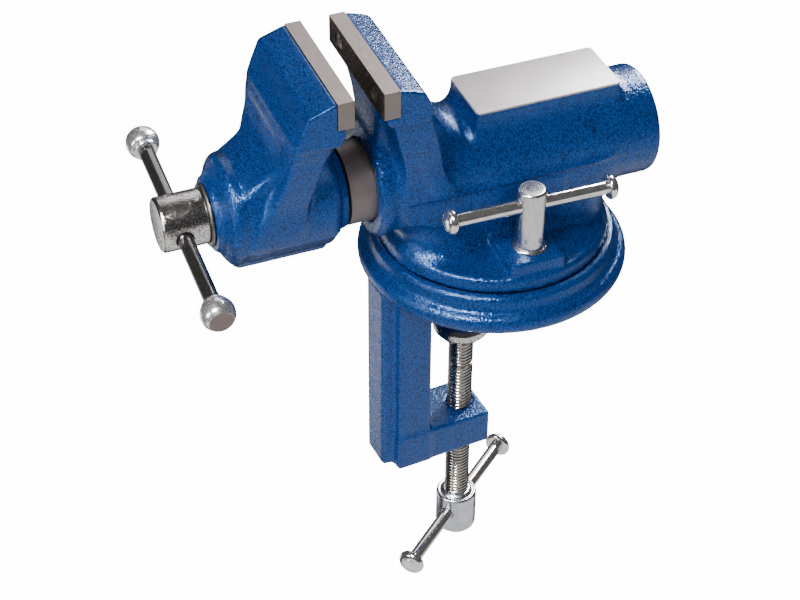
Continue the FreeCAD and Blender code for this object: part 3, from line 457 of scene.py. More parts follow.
# much darker than the plate steel, used only on the gripping faces
GRIP_STEEL = ground_steel("serrated_plate_steel", colour(78, 70, 64), 1, rough=(0.3, 0.46))
NICKEL = plated_steel("nickel_plate", colour(226, 222, 220), 0.13, 900.0, 0.05, 0.93)
CAST_NICKEL = plated_steel("nickel_plate_on_casting", colour(214, 210, 207), 0.15, 1700.0, 0.6,
                           specks=0.6)
KNOB_NICKEL = plated_steel("nickel_plate_on_knob", colour(226, 224, 226), 0.2, 1200.0, 0.1, 0.8)
SLIDE_STEEL = turned_steel("turned_slide_steel", colour(120, 109, 109),
                           (0, 0, SCREW_HEIGHT * MM), 0, (0.42, 0.6), metal=0.55)
LOCK_STEEL = ground_steel("brushed_lock_steel", colour(222, 221, 222), 2, 1.4, (0.12, 0.3))
LOCK_TOP = turned_steel("turned_lock_top", colour(206, 205, 206), (LOCK_X * MM, LOCK_Y * MM, 0),
                        2, (0.2, 0.34), 0.0006)
BAR_STEEL = ground_steel("drawn_bar_steel", colour(122, 118, 118), 1, 0.8, (0.1, 0.22), 0.88)
KNOB_FACE = ground_steel("faced_knob_steel", colour(136, 121, 119), 0, 0.6, (0.35, 0.5))
SATIN_NICKEL = plated_steel("satin_nickel", colour(196, 200, 208), 0.24, 1300.0, 0.15)
THREAD_STEEL = plated_steel("thread_steel", colour(206, 199, 190), 0.14, 900.0, 0.1)
DARK_STEEL = plated_steel("plain_steel", colour(120, 116, 114), 0.34, 700.0, 0.2)


# Castings. Webs and cores are (height, front, rear, half width), blocks are outlines of (x, z)
NECK_WEB = [(48, -52, -30, 24.5), (61, -54.5, -33, 26.2), (70, -55.6, -36, 27.5),
            (77, -56.6, -37.7, 28.8), (86, -58.0, -39.5, 30.4), (96, -60.6, -41.7, 31.8),
            (106, -63.0, -44.6, 32.4), (113, -65.0, -46.0, 32.4)]
NECK_CORE = [(48, -64, -24, 14), (61, -65, -24, 15), (81, -65.6, -27.5, 15), (95, -66, -35, 15),
             (105, -66.4, -41, 17), (113, -67, -45.5, 20)]
FIXED_BLOCK = [(-68.2, 113.2), (-66.5, 110.8), (-48.5, 109.8), (-46.4, 112.5), (-46.8, 119.5),
               (-50.4, 126.2), (-62.1, JAW_TOP), (-68.2, JAW_TOP)]
FLANGE_LOW = 18.05
# Flanges, discs and noses are outlines turned about their axis
FLANGE = [(0, FLANGE_LOW), (55.5, FLANGE_LOW), (55.4, 22.8), (54.9, 24.1), (53.6, 25.0),
          (25.0, 28.0), (0, 28.0)]
# Greatest half width of the body at each height, which keeps the fillets off the lock screw
SIDE_LIMITS = [(36.0, 80.0), (46.0, 27.0), (60.0, 27.0), (66.0, 40.0)]
WIDE_FILLET = 9.0


def pedestal(f):
    """Block under the barrel, with round corners in plan."""
    front, rear, half, rounding = -50.0, 52.0, 25.5, 15.0
    ahead = np.maximum(front - f.x, f.x - rear) + rounding
    aside = f.span - half + rounding
    plan = np.sqrt(np.maximum(ahead, 0.0) ** 2 + np.maximum(aside, 0.0) ** 2) - rounding
    plan = np.maximum(plan, f.span - half)
    return np.maximum(plan, np.maximum(18.5 - f.z, f.z - 58.0))


def jaw_block(f, outline, edge, side_edge, seat_x):
    """Block behind a jaw plate, with the plate's seat cut between the two seat_x."""
    block = f.profile_y(outline, JAW_HALF, edge, side_edge)
    seat = f.block(seat_x, (-THROUGH, THROUGH), (PLATE_SEAT, THROUGH), 0.1)
    return carve(block, seat, 0.3)


def vise_body_casting():
    """Barrel, anvil, neck, jaw block, pedestal and swivel flange."""
    f = Field((-71, -56, 17), (77, 56, JAW_TOP + 1), CELL * 1.08)
    shape = f.rod_x(BARREL_RADIUS, -66.0, 75.0, 3.5)
    front_collar = f.rod_x(27.6, -67.7, -60.5, 3.0)
    shape = join(shape, front_collar, 2.5)
    shape = join(shape, f.tapered(NECK_CORE, 4.0), WIDE_FILLET)
    shape = join(shape, f.tapered(NECK_WEB, 1.8), 7.0)
    under = 0.1  # how far the casting stands back from the ground face
    half = ANVIL_HALF - under
    anvil = f.block((ANVIL_X[0] + under, ANVIL_X[1] - under), (-half, half), (60, 94.95), 0.9)
    shape = join(shape, anvil, WIDE_FILLET)
    shape = join(shape, pedestal(f), WIDE_FILLET)
    # the fillet over the flange widens toward the jaws
    spread = np.clip((-f.x - 8.0) / 30.0, 0.0, 1.0)
    shape = join(shape, f.turned_z(FLANGE), 2.4 + WIDE_FILLET * spread)
    lock_boss = f.block((-13.6, 14.0), (-52.8, -20.0), (19.0, 32.0), 0.5)
    shape = join(shape, lock_boss, 0.8)
    shape = both(shape, f.span - np.interp(f.z, *zip(*SIDE_LIMITS)), 1.5)
    panel = f.block((-21.0, 25.0), (-27.5, -20.0), (46.0, 58.5), 0.5)
    shape = join(shape, panel, 0.5)
    shape = np.maximum(shape, FLANGE_LOW - f.z)
    shape = join(shape, jaw_block(f, FIXED_BLOCK, 1.6, 1.2, (-THROUGH, -62.1)), 0.7)
    front = np.where(f.z < 104.0, -67.75, -68.25)
    shape = np.maximum(shape, front - f.x)
    shape = carve(shape, f.rod_x(BARREL_BORE, -THROUGH, THROUGH, 0.2), 0.8)
    shape = carve(shape, f.rod_z(5.5, 0, 60, 0.2, LOCK_X, LOCK_Y), 0.4)
    return cast_piece("vise_body_casting", f, shape)


JAW_WEB = [(56, -128, -108, 24.6), (61, -126.6, -106, 25.6), (72, -122, -103, 27.4),
           (84, -116.6, -99.6, 29.9), (96, -113.0, -96.4, 31.9), (106, -110.8, -93.9, 33.0),
           (111, -109.6, -92.6, 33.4)]
JAW_CORE = [(58, -132, -90, 17), (80, -127.8, -90, 18.5), (88, -120.2, -90, 21.5),
            (96, -114.6, -90, 26), (104, -111.2, -90, 31), (111, -109.6, -90, 32)]
MOVING_BLOCK = [(-87.2, 112.0), (-89.6, 107.2), (-96.0, 107.2), (-110.6, 108.0), (-109.9, 110.8),
                (-104.1, 125.4), (-91.0, JAW_TOP), (-87.2, JAW_TOP)]
# Radius of the moving jaw's nose along X, with its two shallow beads
NOSE = [(-143.0, 16.6), (-142.3, 17.5), (-140.8, 18.1), (-139.6, 19.3), (-138.2, 21.8),
        (-136.8, 24.1), (-135.3, 25.5), (-133.8, 26.0), (-132.0, 25.7), (-130.4, 25.1),
        (-128.5, 25.2), (-125.0, 25.7)]


def jaw_nose(f):
    """Turned front end of the moving jaw."""
    radius = np.interp(f.x, *zip(*NOSE)).astype(np.float32)
    side = np.sqrt(f.y**2 + (f.z - SCREW_HEIGHT) ** 2) - radius
    return both(side, np.maximum(-142.5 - f.x, f.x + 120.0), 1.0)


def nose_dent(f):
    """Shallow hollow under the nose, an ellipsoid."""
    centre, sizes = (-121.5, -17.0, 39.5), (5.5, 3.2, 3.0)
    parts = [(axis - c) / s for axis, c, s in zip((f.x, f.y, f.z), centre, sizes)]
    return (np.sqrt(sum(part**2 for part in parts)) - 1.0) * min(sizes)


def moving_jaw_casting():
    """Jaw block, flanks, hull and nose, with the painted start of the slide."""
    f = Field((-144, -36, 32), (-77, 36, JAW_TOP + 1), CELL)
    shape = f.rod_x(25.7, -129.0, -86.6, 4.0)
    shape = join(shape, jaw_nose(f), 1.5)
    keel = f.block((-133.8, -89.5), (-12.5, 12.5), (34.7, 60.0), 2.4)
    shape = join(shape, keel, 3.0)
    painted_slide = f.rod_x(20.3, -95.0, -81.0, 0.5)
    shape = join(shape, painted_slide, 2.2)
    shape = join(shape, f.tapered(JAW_CORE, 5.0), 12.0)
    shape = join(shape, f.tapered(JAW_WEB, 2.0), 5.0)
    # the fillet under the block fades out toward its ends and toward the plate
    inboard = np.clip((31.0 - f.span) / 6.0, 0.0, 1.0)
    forward = np.clip((-f.x - 100.0) / 7.0, 0.0, 1.0)
    block = jaw_block(f, MOVING_BLOCK, 0.9, 0.9, (-91.0, THROUGH))
    shape = join(shape, block, 0.8 + 5.0 * inboard * forward)
    shape = carve(shape, nose_dent(f), 1.5)
    shape = carve(shape, f.rod_x(8.4, -150, -120, 0.2), 0.6)
    shape = carve(shape, f.rod_x(SLIDE_BORE, -124, -60, 0.2), 0.4)
    return cast_piece("moving_jaw_casting", f, shape)


# Base disc: underside, rolled rim, step, top, and the T slot for the lock nut
DISC = [(0, 0.0), (63.0, 0.0), (64.6, 0.8), (65.6, 2.8), (65.8, 5.0), (65.3, 7.2), (64.0, 8.8),
        (62.4, 9.6), (61.2, 10.3), (60.6, 11.4), (60.3, 13.0), (60.0, 15.4), (59.3, 16.9),
        (57.9, 17.8), (56.6, 18.0), (45.5, 18.0), (45.5, 11.0), (48.8, 11.0), (48.8, 4.0),
        (31.2, 4.0), (31.2, 11.0), (34.5, 11.0), (34.5, 18.0), (0, 18.0)]
FRAME_LOW = -114.1


def clamp_frame_casting():
    """Base disc, column and arm, in one casting that is turned under the body."""
    f = Field((-67, -67, -115), (67, 67, 19), CELL * 1.12)
    rib = f.block((-63.4, -50.0), (-9.6, 9.6), (FRAME_LOW, 2.0), 2.6)
    web = f.block((-56.7, -38.7), (-14.85, 14.85), (FRAME_LOW, 2.0), 1.6)
    arm = f.block((-56.7, -4.8), (-14.85, 14.85), (FRAME_LOW, -94.1), 1.0)
    column = join(join(rib, web, 2.2), arm, 3.0)
    column = both(column, FRAME_LOW - f.z, 0.6)
    shape = join(f.turned_z(DISC), column, 2.2)
    shape = carve(shape, f.rod_z(6.6, -120, -90, 0.2, CLAMP_X, 0.0), 0.5)
    shape = carve(shape, f.rod_z(5.1, 4.0, 30, 0.2), 0.3)
    keyhole = f.block((-12, 12), (30.2, 49.8), (-5, 5), 0.2)
    shape = carve(shape, keyhole, 0.3)
    return cast_piece("clamp_frame_casting", f, shape, 4, BASE_TURN)


attach(vise_body_casting(), "swivel_body", "vise_body")
attach(moving_jaw_casting(), "sliding_jaw", "moving_jaw")
attach(clamp_frame_casting(), "base", "clamp_frame")


# Turned and machined pieces
def box_of(node):
    """Lowest and highest point of a CAD node's box, in millimetres."""
    return [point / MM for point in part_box(node)]


def frame_along(centre, direction, side=(0.0, 0.0, 1.0)):
    """Matrix that puts local Z on direction and local Y as near as it can be to side."""
    z = Vector(direction).normalized()
    y = (Vector(side) - Vector(side).dot(z) * z).normalized()
    turn = Matrix((y.cross(z), y, z)).transposed().to_4x4()
    return Matrix.Translation(Vector(centre)) @ turn


def soften(points, radii):
    """An open outline with a radius at each of its corners."""
    steps = 4
    made = [points[0]]
    for before, at, after, radius in zip(points, points[1:], points[2:], radii[1:]):
        a, b, c = Vector(before), Vector(at), Vector(after)
        if radius <= 0 or (a - b).length < 1e-6 or (c - b).length < 1e-6:
            made.append(at)
            continue
        reach = min(radius, 0.48 * (a - b).length, 0.48 * (c - b).length)
        start = b + (a - b).normalized() * reach
        end = b + (c - b).normalized() * reach
        for i in range(steps + 1):
            t = i / steps
            point = start * (1 - t) ** 2 + b * 2 * t * (1 - t) + end * t * t
            made.append((point.x, point.y))
    made.append(points[-1])
    return made


def band(a, b, count):
    """Quads between two rings of count points, which start at the numbers a and b."""
    return [(a + i, a + (i + 1) % count, b + (i + 1) % count, b + i) for i in range(count)]


def fan(ring, pole, count, outward):
    """Triangles from a ring of points to one point."""
    pairs = [(ring + i, ring + (i + 1) % count) for i in range(count)]
    return [(a, b, pole) if outward else (pole, b, a) for a, b in pairs]


def lathe(name, profile, matrix, material, segments=96, closed=False):
    """A (radius, height) outline turned about local Z. It ends on the axis unless it is closed."""
    points, faces, starts = [], [], []
    poles = [not closed and row[0] < 1e-6 for row in profile]
    for (radius, height), pole in zip(profile, poles):
        starts.append(len(points))
        if pole:
            points.append((0.0, 0.0, height))
            continue
        for i in range(segments):
            angle = 2 * math.pi * i / segments
            points.append((radius * math.cos(angle), radius * math.sin(angle), height))
    pairs = list(zip(range(len(profile) - 1), range(1, len(profile))))
    if closed:
        pairs.append((len(profile) - 1, 0))
    for a, b in pairs:
        if poles[a] and not poles[b]:
            faces += fan(starts[b], starts[a], segments, False)
        elif poles[b] and not poles[a]:
            faces += fan(starts[a], starts[b], segments, True)
        elif not poles[a]:
            faces += band(starts[a], starts[b], segments)
    placed = [matrix @ Vector(p) for p in points]
    return tidy_mesh(mesh_piece(name, placed, faces, material))


def turned(name, outline, radii, matrix, material, segments=96):
    """A turned piece from an outline that ends on the axis, with a radius for each corner."""
    return lathe(name, soften(outline, radii), matrix, material, segments)


def turned_ring(name, outline, radii, matrix, material, segments=96):
    """A turned piece with a bore, from the outline of its section."""
    section = soften(outline + outline[:1], radii)[:-1]
    return lathe(name, section, matrix, material, segments, closed=True)


def tidy_mesh(obj, angle=32.0):
    """Outward normals, and crisp shading where faces meet at more than angle."""
    bm = bmesh.new()
    bm.from_mesh(obj.data)
    bmesh.ops.remove_doubles(bm, verts=bm.verts, dist=1e-7)
    bmesh.ops.recalc_face_normals(bm, faces=bm.faces)
    bm.to_mesh(obj.data)
    bm.free()
    obj.data.polygons.foreach_set("use_smooth", [True] * len(obj.data.polygons))
    obj.data.set_sharp_from_angle(angle=math.radians(angle))
    return obj


def cut(obj, *cutters):
    """Take other meshes out of obj, and delete them."""
    for cutter in cutters:
        modifier = obj.modifiers.new("cut", "BOOLEAN")
        modifier.operation = "DIFFERENCE"
        modifier.solver = "EXACT"
        modifier.object = cutter
    graph = bpy.context.evaluated_depsgraph_get()
    mesh = bpy.data.meshes.new_from_object(obj.evaluated_get(graph))
    obj.modifiers.clear()
    material = obj.data.materials[0]
    obj.data = mesh
    mesh.materials.clear()
    mesh.materials.append(material)
    mesh.polygons.foreach_set("material_index", [0] * len(mesh.polygons))
    for cutter in cutters:
        bpy.data.objects.remove(cutter)
    return tidy_mesh(obj)


def drill(radius, low, high, matrix, mouth=0.0):
    """A cutter for a round hole along local Z. mouth widens both ends."""
    walls = [(radius, low), (radius, high)]
    if mouth:
        walls = [(radius + mouth, low), (radius, low + mouth), (radius, high - mouth),
                 (radius + mouth, high)]
    return lathe("cutter", [(0, low), *walls, (0, high)], matrix, DARK_STEEL, 64)


def box_cutter(x, y, z, matrix=Matrix()):
    """A plain box, used only to cut."""
    points = [(a, b, c) for a in x for b in y for c in z]
    faces = [(0, 1, 3, 2), (4, 6, 7, 5), (0, 4, 5, 1), (2, 3, 7, 6), (0, 2, 6, 4), (1, 5, 7, 3)]
    placed = [matrix @ Vector(p) for p in points]
    return tidy_mesh(mesh_piece("cutter", placed, faces, DARK_STEEL))


def threaded(name, radius, depth, pitch, low, high, matrix, material, sharp, ends, groove=None):
    """Rod with a real right-hand thread. ends are (radius, height) rows below and above it.
    groove is (radius, height, half width) of a ring cut round it."""
    segments, steps = 60, 10
    heights = np.linspace(low, high, int((high - low) / pitch * steps) + 1)
    angles = np.arange(segments) * 2 * math.pi / segments
    phase = heights[:, None] / pitch - angles[None, :] / (2 * math.pi)
    valley = (0.5 + 0.5 * np.cos(2 * math.pi * phase)) ** sharp
    fade = np.clip(np.minimum(heights - low, high - heights) / pitch, 0.0, 1.0)[:, None]
    radii = radius - depth * valley * fade
    if groove:
        inside = np.abs(heights - groove[1]) < groove[2]
        radii[inside] = np.minimum(radii[inside], groove[0])
    rows = [(np.full(segments, r), h) for r, h in ends[0]]
    rows += list(zip(radii, heights))
    rows += [(np.full(segments, r), h) for r, h in ends[1]]
    points = [(0, 0, rows[0][1])]
    for row, height in rows:
        points += [(r * math.cos(a), r * math.sin(a), height) for r, a in zip(row, angles)]
    points.append((0, 0, rows[-1][1]))
    faces = fan(1, 0, segments, False)
    for k in range(len(rows) - 1):
        faces += band(1 + k * segments, 1 + (k + 1) * segments, segments)
    faces += fan(1 + (len(rows) - 1) * segments, len(points) - 1, segments, True)
    placed = [matrix @ Vector(p) for p in points]
    return tidy_mesh(mesh_piece(name, placed, faces, material), 60.0)


def plan_plate(name, x, half, low, high, radius, bevel, material):
    """A flat plate with rounded corners and a small bevel round its top."""
    steps = 8
    levels = ((0.0, low), (0.0, high - bevel), (bevel * 0.35, high - bevel * 0.3), (bevel, high))
    front, rear, side = x[0] + radius, x[1] - radius, half - radius
    centres = ((rear, side), (front, side), (front, -side), (rear, -side))
    points = []
    for inset, height in levels:
        for quarter, (cx, cy) in enumerate(centres):
            for i in range(steps + 1):
                angle = math.radians(90.0 * (quarter + i / steps))
                r = radius - inset
                points.append((cx + r * math.cos(angle), cy + r * math.sin(angle), height))
    count = len(points) // len(levels)
    faces = [tuple(reversed(range(count)))]
    for k in range(len(levels) - 1):
        faces += band(k * count, (k + 1) * count, count)
    faces.append(tuple(range(len(points) - count, len(points))))
    return tidy_mesh(mesh_piece(name, points, faces, material))


ALONG_X = frame_along((0, 0, SCREW_HEIGHT), (1, 0, 0))
SLIDE_FRONT, SLIDE_REAR = -79.4, box_of("moving_jaw")[1].x


def make_slide():
    """The machined tube behind the moving jaw, with its bore and the key slot underneath."""
    outline = [(SLIDE_BORE, SLIDE_FRONT), (SLIDE_RADIUS, SLIDE_FRONT), (SLIDE_RADIUS, SLIDE_REAR),
               (SLIDE_BORE, SLIDE_REAR)]
    tube = turned_ring("machined_slide", outline, [0, 0.1, 0.8, 0.8], ALONG_X, SLIDE_STEEL, 160)
    key_slot = box_cutter((-42.0, SLIDE_REAR + 5), (-4.9, 4.9), (30.0, SCREW_HEIGHT))
    return cut(tube, key_slot)


def make_anvil_face():
    """Ground plate on top of the anvil."""
    thickness, rounding, bevel = 1.0, 2.4, 0.25
    return plan_plate("anvil_ground_face", ANVIL_X, ANVIL_HALF, ANVIL_TOP - thickness, ANVIL_TOP,
                      rounding, bevel, ANVIL_STEEL)


attach(make_slide(), "sliding_jaw", "moving_jaw")
attach(make_anvil_face(), "swivel_body", "vise_body")


# Jaw plates with crossed serrations, and their screws
TOOTH = 1.3
TOOTH_DEPTH = 0.42
TEETH_GRID = (250, 52)  # points along Y and Z
BORDER_DEPTH = 0.75  # share of a tooth's depth that the plate's outer edge lies back
SCREW_APART = 22.4


def tooth_gap(v):
    """Distance into a groove, from 0 on a crest to 1 at its root."""
    return np.abs((v / TOOTH) % 1.0 * 2.0 - 1.0)


def bevel_corners(obj, width):
    """Bevel the long corners of a plate that run along X."""
    bm = bmesh.new()
    bm.from_mesh(obj.data)
    edges = [e for e in bm.edges if abs((e.verts[0].co - e.verts[1].co).x) > 0.004
             and len(e.link_faces) == 2 and e.calc_face_angle(0) > 1.0]
    bmesh.ops.bevel(bm, geom=edges, offset=width * MM, segments=2, affect="EDGES", profile=0.6)
    bm.to_mesh(obj.data)
    bm.free()


def toothed_block(name, low, high, outward):
    """Plate between two corners, with crossed grooves in the face on its outward side."""
    face, back = (high.x, low.x) if outward > 0 else (low.x, high.x)
    y, z = np.meshgrid(np.linspace(low.y, high.y, TEETH_GRID[0]),
                       np.linspace(low.z, high.z, TEETH_GRID[1]), indexing="ij")
    groove = np.maximum(tooth_gap(y + z), tooth_gap(y - z)) ** 1.5
    border = np.minimum(np.minimum(y - low.y, high.y - y), high.z - z)
    groove = np.where(border < 0.01, BORDER_DEPTH, groove)
    x = face - outward * TOOTH_DEPTH * groove
    points = np.stack([x, y, z], axis=-1).reshape(-1, 3).tolist()
    index = np.arange(len(points)).reshape(TEETH_GRID)
    quads = np.stack([index[:-1, :-1], index[1:, :-1], index[1:, 1:], index[:-1, 1:]], axis=-1)
    faces = quads.reshape(-1, 4).tolist()
    sides = [index[:, 0], index[-1, 1:], index[-2::-1, -1], index[0, -2:0:-1]]
    ring = np.concatenate(sides).tolist()
    start, count = len(points), len(ring)
    points += [[back, points[k][1], points[k][2]] for k in ring]
    faces += [(ring[i], ring[(i + 1) % count], start + (i + 1) % count, start + i)
              for i in range(count)]
    faces.append(tuple(range(start, start + count)))
    return tidy_mesh(mesh_piece(name, points, faces, PLATE_STEEL), 40.0)


def face_and_middle(node, outward):
    """A plate's X at its gripping face, and the height of its middle."""
    low, high = box_of(node)
    return (high.x if outward > 0 else low.x), (low.z + high.z) / 2


def jaw_plate(name, node, outward):
    """Plate with diamond teeth on its gripping face and two countersunk holes."""
    low, high = box_of(node)
    face, middle = face_and_middle(node, outward)
    plate = toothed_block(name, low, high, outward)
    bevel_corners(plate, 0.35)
    sink = [(0, -1), (5.2, -1), (4.7, 0), (2.6, 2.1), (2.6, 9), (0, 9)]
    cutters = []
    for side in (-1, 1):
        hole = frame_along((face, side * SCREW_APART, middle), (-outward, 0, 0))
        cutters.append(lathe("cutter", sink, hole, PLATE_STEEL, 48))
    plate = cut(plate, *cutters)
    # the gripping face takes a much darker colour than the rest of the plate
    plate.data.materials.append(GRIP_STEEL)
    for part in plate.data.polygons:
        if abs(part.center.x / MM - face) < 5.0 and part.normal.x * outward > 0.25:
            part.material_index = 1
    return plate


def plate_screw(name, face, side, height, outward):
    """Countersunk screw with a cross recess."""
    place = frame_along((face, side * SCREW_APART, height), (-outward, 0, 0))
    outline = [(0, 0.9), (3.7, 0.9), (3.75, 1.1), (2.45, 2.35), (2.45, 15.5), (0, 15.5)]
    screw = turned(name, outline, [0, 0.12, 0.12, 0.2, 0.3], place, DARK_STEEL, 48)
    arms = [box_cutter((-2.3, 2.3), (-0.45, 0.45), (-1, 1.7),
                       place @ Matrix.Rotation(math.radians(turn), 4, "Z")) for turn in (24, 114)]
    return cut(screw, *arms)


for prefix, direction, rider in (("fixed", -1, "swivel_body"), ("moving", 1, "sliding_jaw")):
    plate_node = f"{prefix}_jaw_plate"
    attach(jaw_plate(f"{prefix}_serrated_plate", plate_node, direction), rider,
           plate_node)
    grip, level = face_and_middle(plate_node, direction)
    for label, side in (("near", -1), ("far", 1)):
        attach(plate_screw(f"{prefix}_plate_screw_{label}", grip, side, level, direction), rider,
               f"{prefix}_plate_screws")


# Main screw and its handle
def line_of(near_node, far_node):
    """Middle of each end piece of a handle, and the way from the first to the second."""
    near, far = [sum(box_of(node), Vector()) / 2 for node in (near_node, far_node)]
    return near, far, (far - near).normalized()


knob_near, knob_far, main_line = line_of("main_handle_knob_near", "main_handle_knob_far")
main_cross = Vector((knob_near.x, 0, SCREW_HEIGHT))


def make_main_head():
    """Drilled head of the main screw."""
    front, rear, radius = -166.0, -144.3, 13.0
    outline = [(0, front), (12.0, front), (radius, front + 1.0), (radius, rear - 0.4),
               (12.4, rear), (0, rear)]
    head = turned("main_screw_head", outline, [0, 0.5, 0.8, 0.3, 0.3], ALONG_X, CAST_NICKEL, 128)
    return cut(head, drill(4.4, -20, 20, frame_along(main_cross, main_line)))


def make_main_rod():
    """Threaded rod inside the slide."""
    ends = ([(8.0, -145.5), (8.0, -121.5)], [(6.4, 45.0)])
    return threaded("main_screw_rod", 8.0, 1.9, 4.0, -121.0, 43.4, ALONG_X, DARK_STEEL, 1.0, ends)


def make_bearing_washer():
    """Washer between the screw's head and the moving jaw."""
    outline = [(8.3, -144.2), (14.4, -144.2), (15.0, -143.7), (15.0, -143.0), (14.6, -142.7),
               (8.3, -142.7)]
    return turned_ring("bearing_washer", outline, [0, 0.3, 0.3, 0.3, 0, 0], ALONG_X, DARK_STEEL)


def knob(name, centre, outward):
    """Bulging end of the main bar, with a flat face and a groove where the bar goes in."""
    outline = [(0, -5.6), (4.4, -5.9), (5.5, -5.9), (5.9, -5.4), (5.9, -4.5), (7.2, -3.3),
               (8.0, -0.8), (8.0, 1.4), (7.4, 4.0), (5.8, 5.9), (0, 6.0)]
    radii = [0, 0.3, 0.4, 0.3, 0.15, 1.4, 1.6, 1.6, 1.6, 0.12]
    made = turned(name, outline, radii, frame_along(centre, outward), KNOB_NICKEL, 80)
    made.data.materials.append(KNOB_FACE)
    for part in made.data.polygons:
        if part.normal.dot(outward) > 0.97:
            part.material_index = 1
    return made


def bar(name, start, end, radius, material):
    """Round handle bar with softened ends."""
    length = (end - start).length
    outline = [(0, 0), (radius, 0), (radius, length), (0, length)]
    return turned(name, outline, [0, 0.5, 0.5], frame_along(start, end - start), material, 64)


MAIN_BAR = 3.75  # radius
attach(make_main_head(), "main_spindle", "main_screw")
attach(make_main_rod(), "main_spindle", "main_screw")
attach(make_bearing_washer(), "main_spindle", "thrust_washer")
attach(bar("main_cross_bar", knob_near - main_line, knob_far + main_line, MAIN_BAR, BAR_STEEL),
       "main_handle", "main_handle_bar")
for place, centre, outward in (("near", knob_near, -main_line), ("far", knob_far, main_line)):
    attach(knob(f"main_knob_{place}", centre, outward), "main_handle",
           f"main_handle_knob_{place}")


# Lock screw and clamp screw, with their handles
SMALL_BAR = 3.4  # radius
BAR_HOLE = SMALL_BAR + 0.3
PAD_TOP = box_of("clamp_pad")[1].z


def button(name, centre, outward, radius):
    """Mushroom end of a small bar, with a ring turned in its face."""
    outline = [(0, -2.5), (3.2, -2.5), (radius - 1.0, -2.4), (radius, -1.5), (radius, -0.1),
               (radius - 0.9, 1.5), (4.2, 2.15), (3.9, 2.0), (3.6, 2.3), (0, 2.5)]
    radii = [0, 0.2, 0.6, 0.9, 0.9, 1.4, 0.2, 0.15, 0.3]
    return turned(name, outline, radii, frame_along(centre, outward), NICKEL, 64)


def small_handle(prefix, radius):
    """Bar and both buttons of the lock or the clamp handle."""
    near, far, line = line_of(f"{prefix}_handle_end_front", f"{prefix}_handle_end_rear")
    rod = bar(f"{prefix}_cross_bar", near, far, SMALL_BAR, NICKEL)
    attach(rod, f"{prefix}_handle", f"{prefix}_handle_bar")
    for place, centre, outward in (("front", near, -line), ("rear", far, line)):
        attach(button(f"{prefix}_button_{place}", centre, outward, radius), f"{prefix}_handle",
               f"{prefix}_handle_end_{place}")
    return (near + far) / 2, line


def upright_axis(node):
    """A node's lowest and highest corner, and the matrix of its upright middle line."""
    low, high = box_of(node)
    middle = ((low.x + high.x) / 2, (low.y + high.y) / 2, 0)
    return low, high, frame_along(middle, (0, 0, 1), (0, 1, 0))


lock_cross, lock_line = small_handle("lock", 6.25)
clamp_cross, clamp_line = small_handle("clamp", 7.1)
lock_low, lock_high, LOCK_AXIS = upright_axis("lock_screw")
clamp_low, clamp_high, CLAMP_AXIS = upright_axis("clamp_screw")


def make_lock_screw():
    """Headed lock screw, with a cross hole for its bar."""
    seat, shank, foot, head = 33.5, 4.9, 7.3, 6.8
    outline = [(0, lock_low.z), (4.3, lock_low.z), (shank, lock_low.z + 0.7), (shank, seat),
               (foot, seat), (foot, seat + 0.9), (head, seat + 4.0), (head, lock_high.z - 0.9),
               (6.0, lock_high.z), (0, lock_high.z)]
    radii = [0, 0.2, 0.3, 0, 0.3, 0.8, 2.0, 0.7, 0.5]
    screw = turned("lock_screw_turned", outline, radii, LOCK_AXIS, LOCK_STEEL)
    screw = cut(screw, drill(BAR_HOLE, -12, 12, frame_along(lock_cross, lock_line)))
    screw.data.materials.append(LOCK_TOP)
    for face in screw.data.polygons:
        if face.center.z > (lock_high.z - 0.5) * MM:
            face.material_index = 1
    return screw


def make_lock_washer():
    """Flat washer under the lock screw's head."""
    outline = [(5.4, 32.0), (8.7, 32.0), (8.7, 32.7), (8.1, 33.5), (5.4, 33.5)]
    return turned_ring("lock_flat_washer", outline, [0, 0.2, 0.5, 0.4, 0], LOCK_AXIS, LOCK_STEEL,
                       80)


def make_clamp_head():
    """Drilled head at the lower end of the clamp screw."""
    low, high, radius = clamp_low.z, -159.0, 10.8
    outline = [(0, low), (9.0, low), (radius, low + 2.0), (radius, high - 1.1), (9.9, high),
               (8.6, high - 0.3), (8.0, high + 0.6), (6.9, high + 1.4), (0, high + 1.4)]
    radii = [0, 1.5, 2.0, 0.7, 0.5, 0.4, 0.5, 0.6]
    head = turned("clamp_screw_head", outline, radii, CLAMP_AXIS, SATIN_NICKEL)
    return cut(head, drill(BAR_HOLE, -14, 14, frame_along(clamp_cross, clamp_line), 0.5))


def make_clamp_rod():
    """Threaded length of the clamp screw, and the plain tip in the pad."""
    radius, pitch, tip = 6.35, 25.4 / 12, 4.2
    shoulder = PAD_TOP - 14.0
    ends = ([(radius, -162.0)], [(tip, shoulder), (tip, PAD_TOP - 1.1)])
    groove = (4.9, -66.5, 0.55)
    return threaded("clamp_screw_thread", radius, 1.2, pitch, -160.5, shoulder - 0.1, CLAMP_AXIS,
                    THREAD_STEEL, 1.5, ends, groove)


def make_pad():
    """Pad that bears on the table, a cup with a wide rim."""
    section = [(4.5, -13.5), (8.3, -13.5), (14.2, -6.4), (14.5, -5.8), (14.5, -2.7), (12.6, 0),
               (7.4, 0), (7.2, -0.4), (7.2, -4.0), (4.5, -4.0)]
    outline = [(radius, PAD_TOP + drop) for radius, drop in section]
    radii = [0, 0.8, 0.6, 0.4, 0.6, 0.8, 0.2, 0.2, 0, 0]
    return turned_ring("clamp_pad_turned", outline, radii, CLAMP_AXIS, CAST_NICKEL)


attach(make_lock_screw(), "lock_spindle", "lock_screw")
attach(make_lock_washer(), "swivel_body", "lock_washer")
attach(make_clamp_head(), "clamp_spindle", "clamp_screw")
attach(make_clamp_rod(), "clamp_spindle", "clamp_screw")
attach(make_pad(), "pad", "clamp_pad")

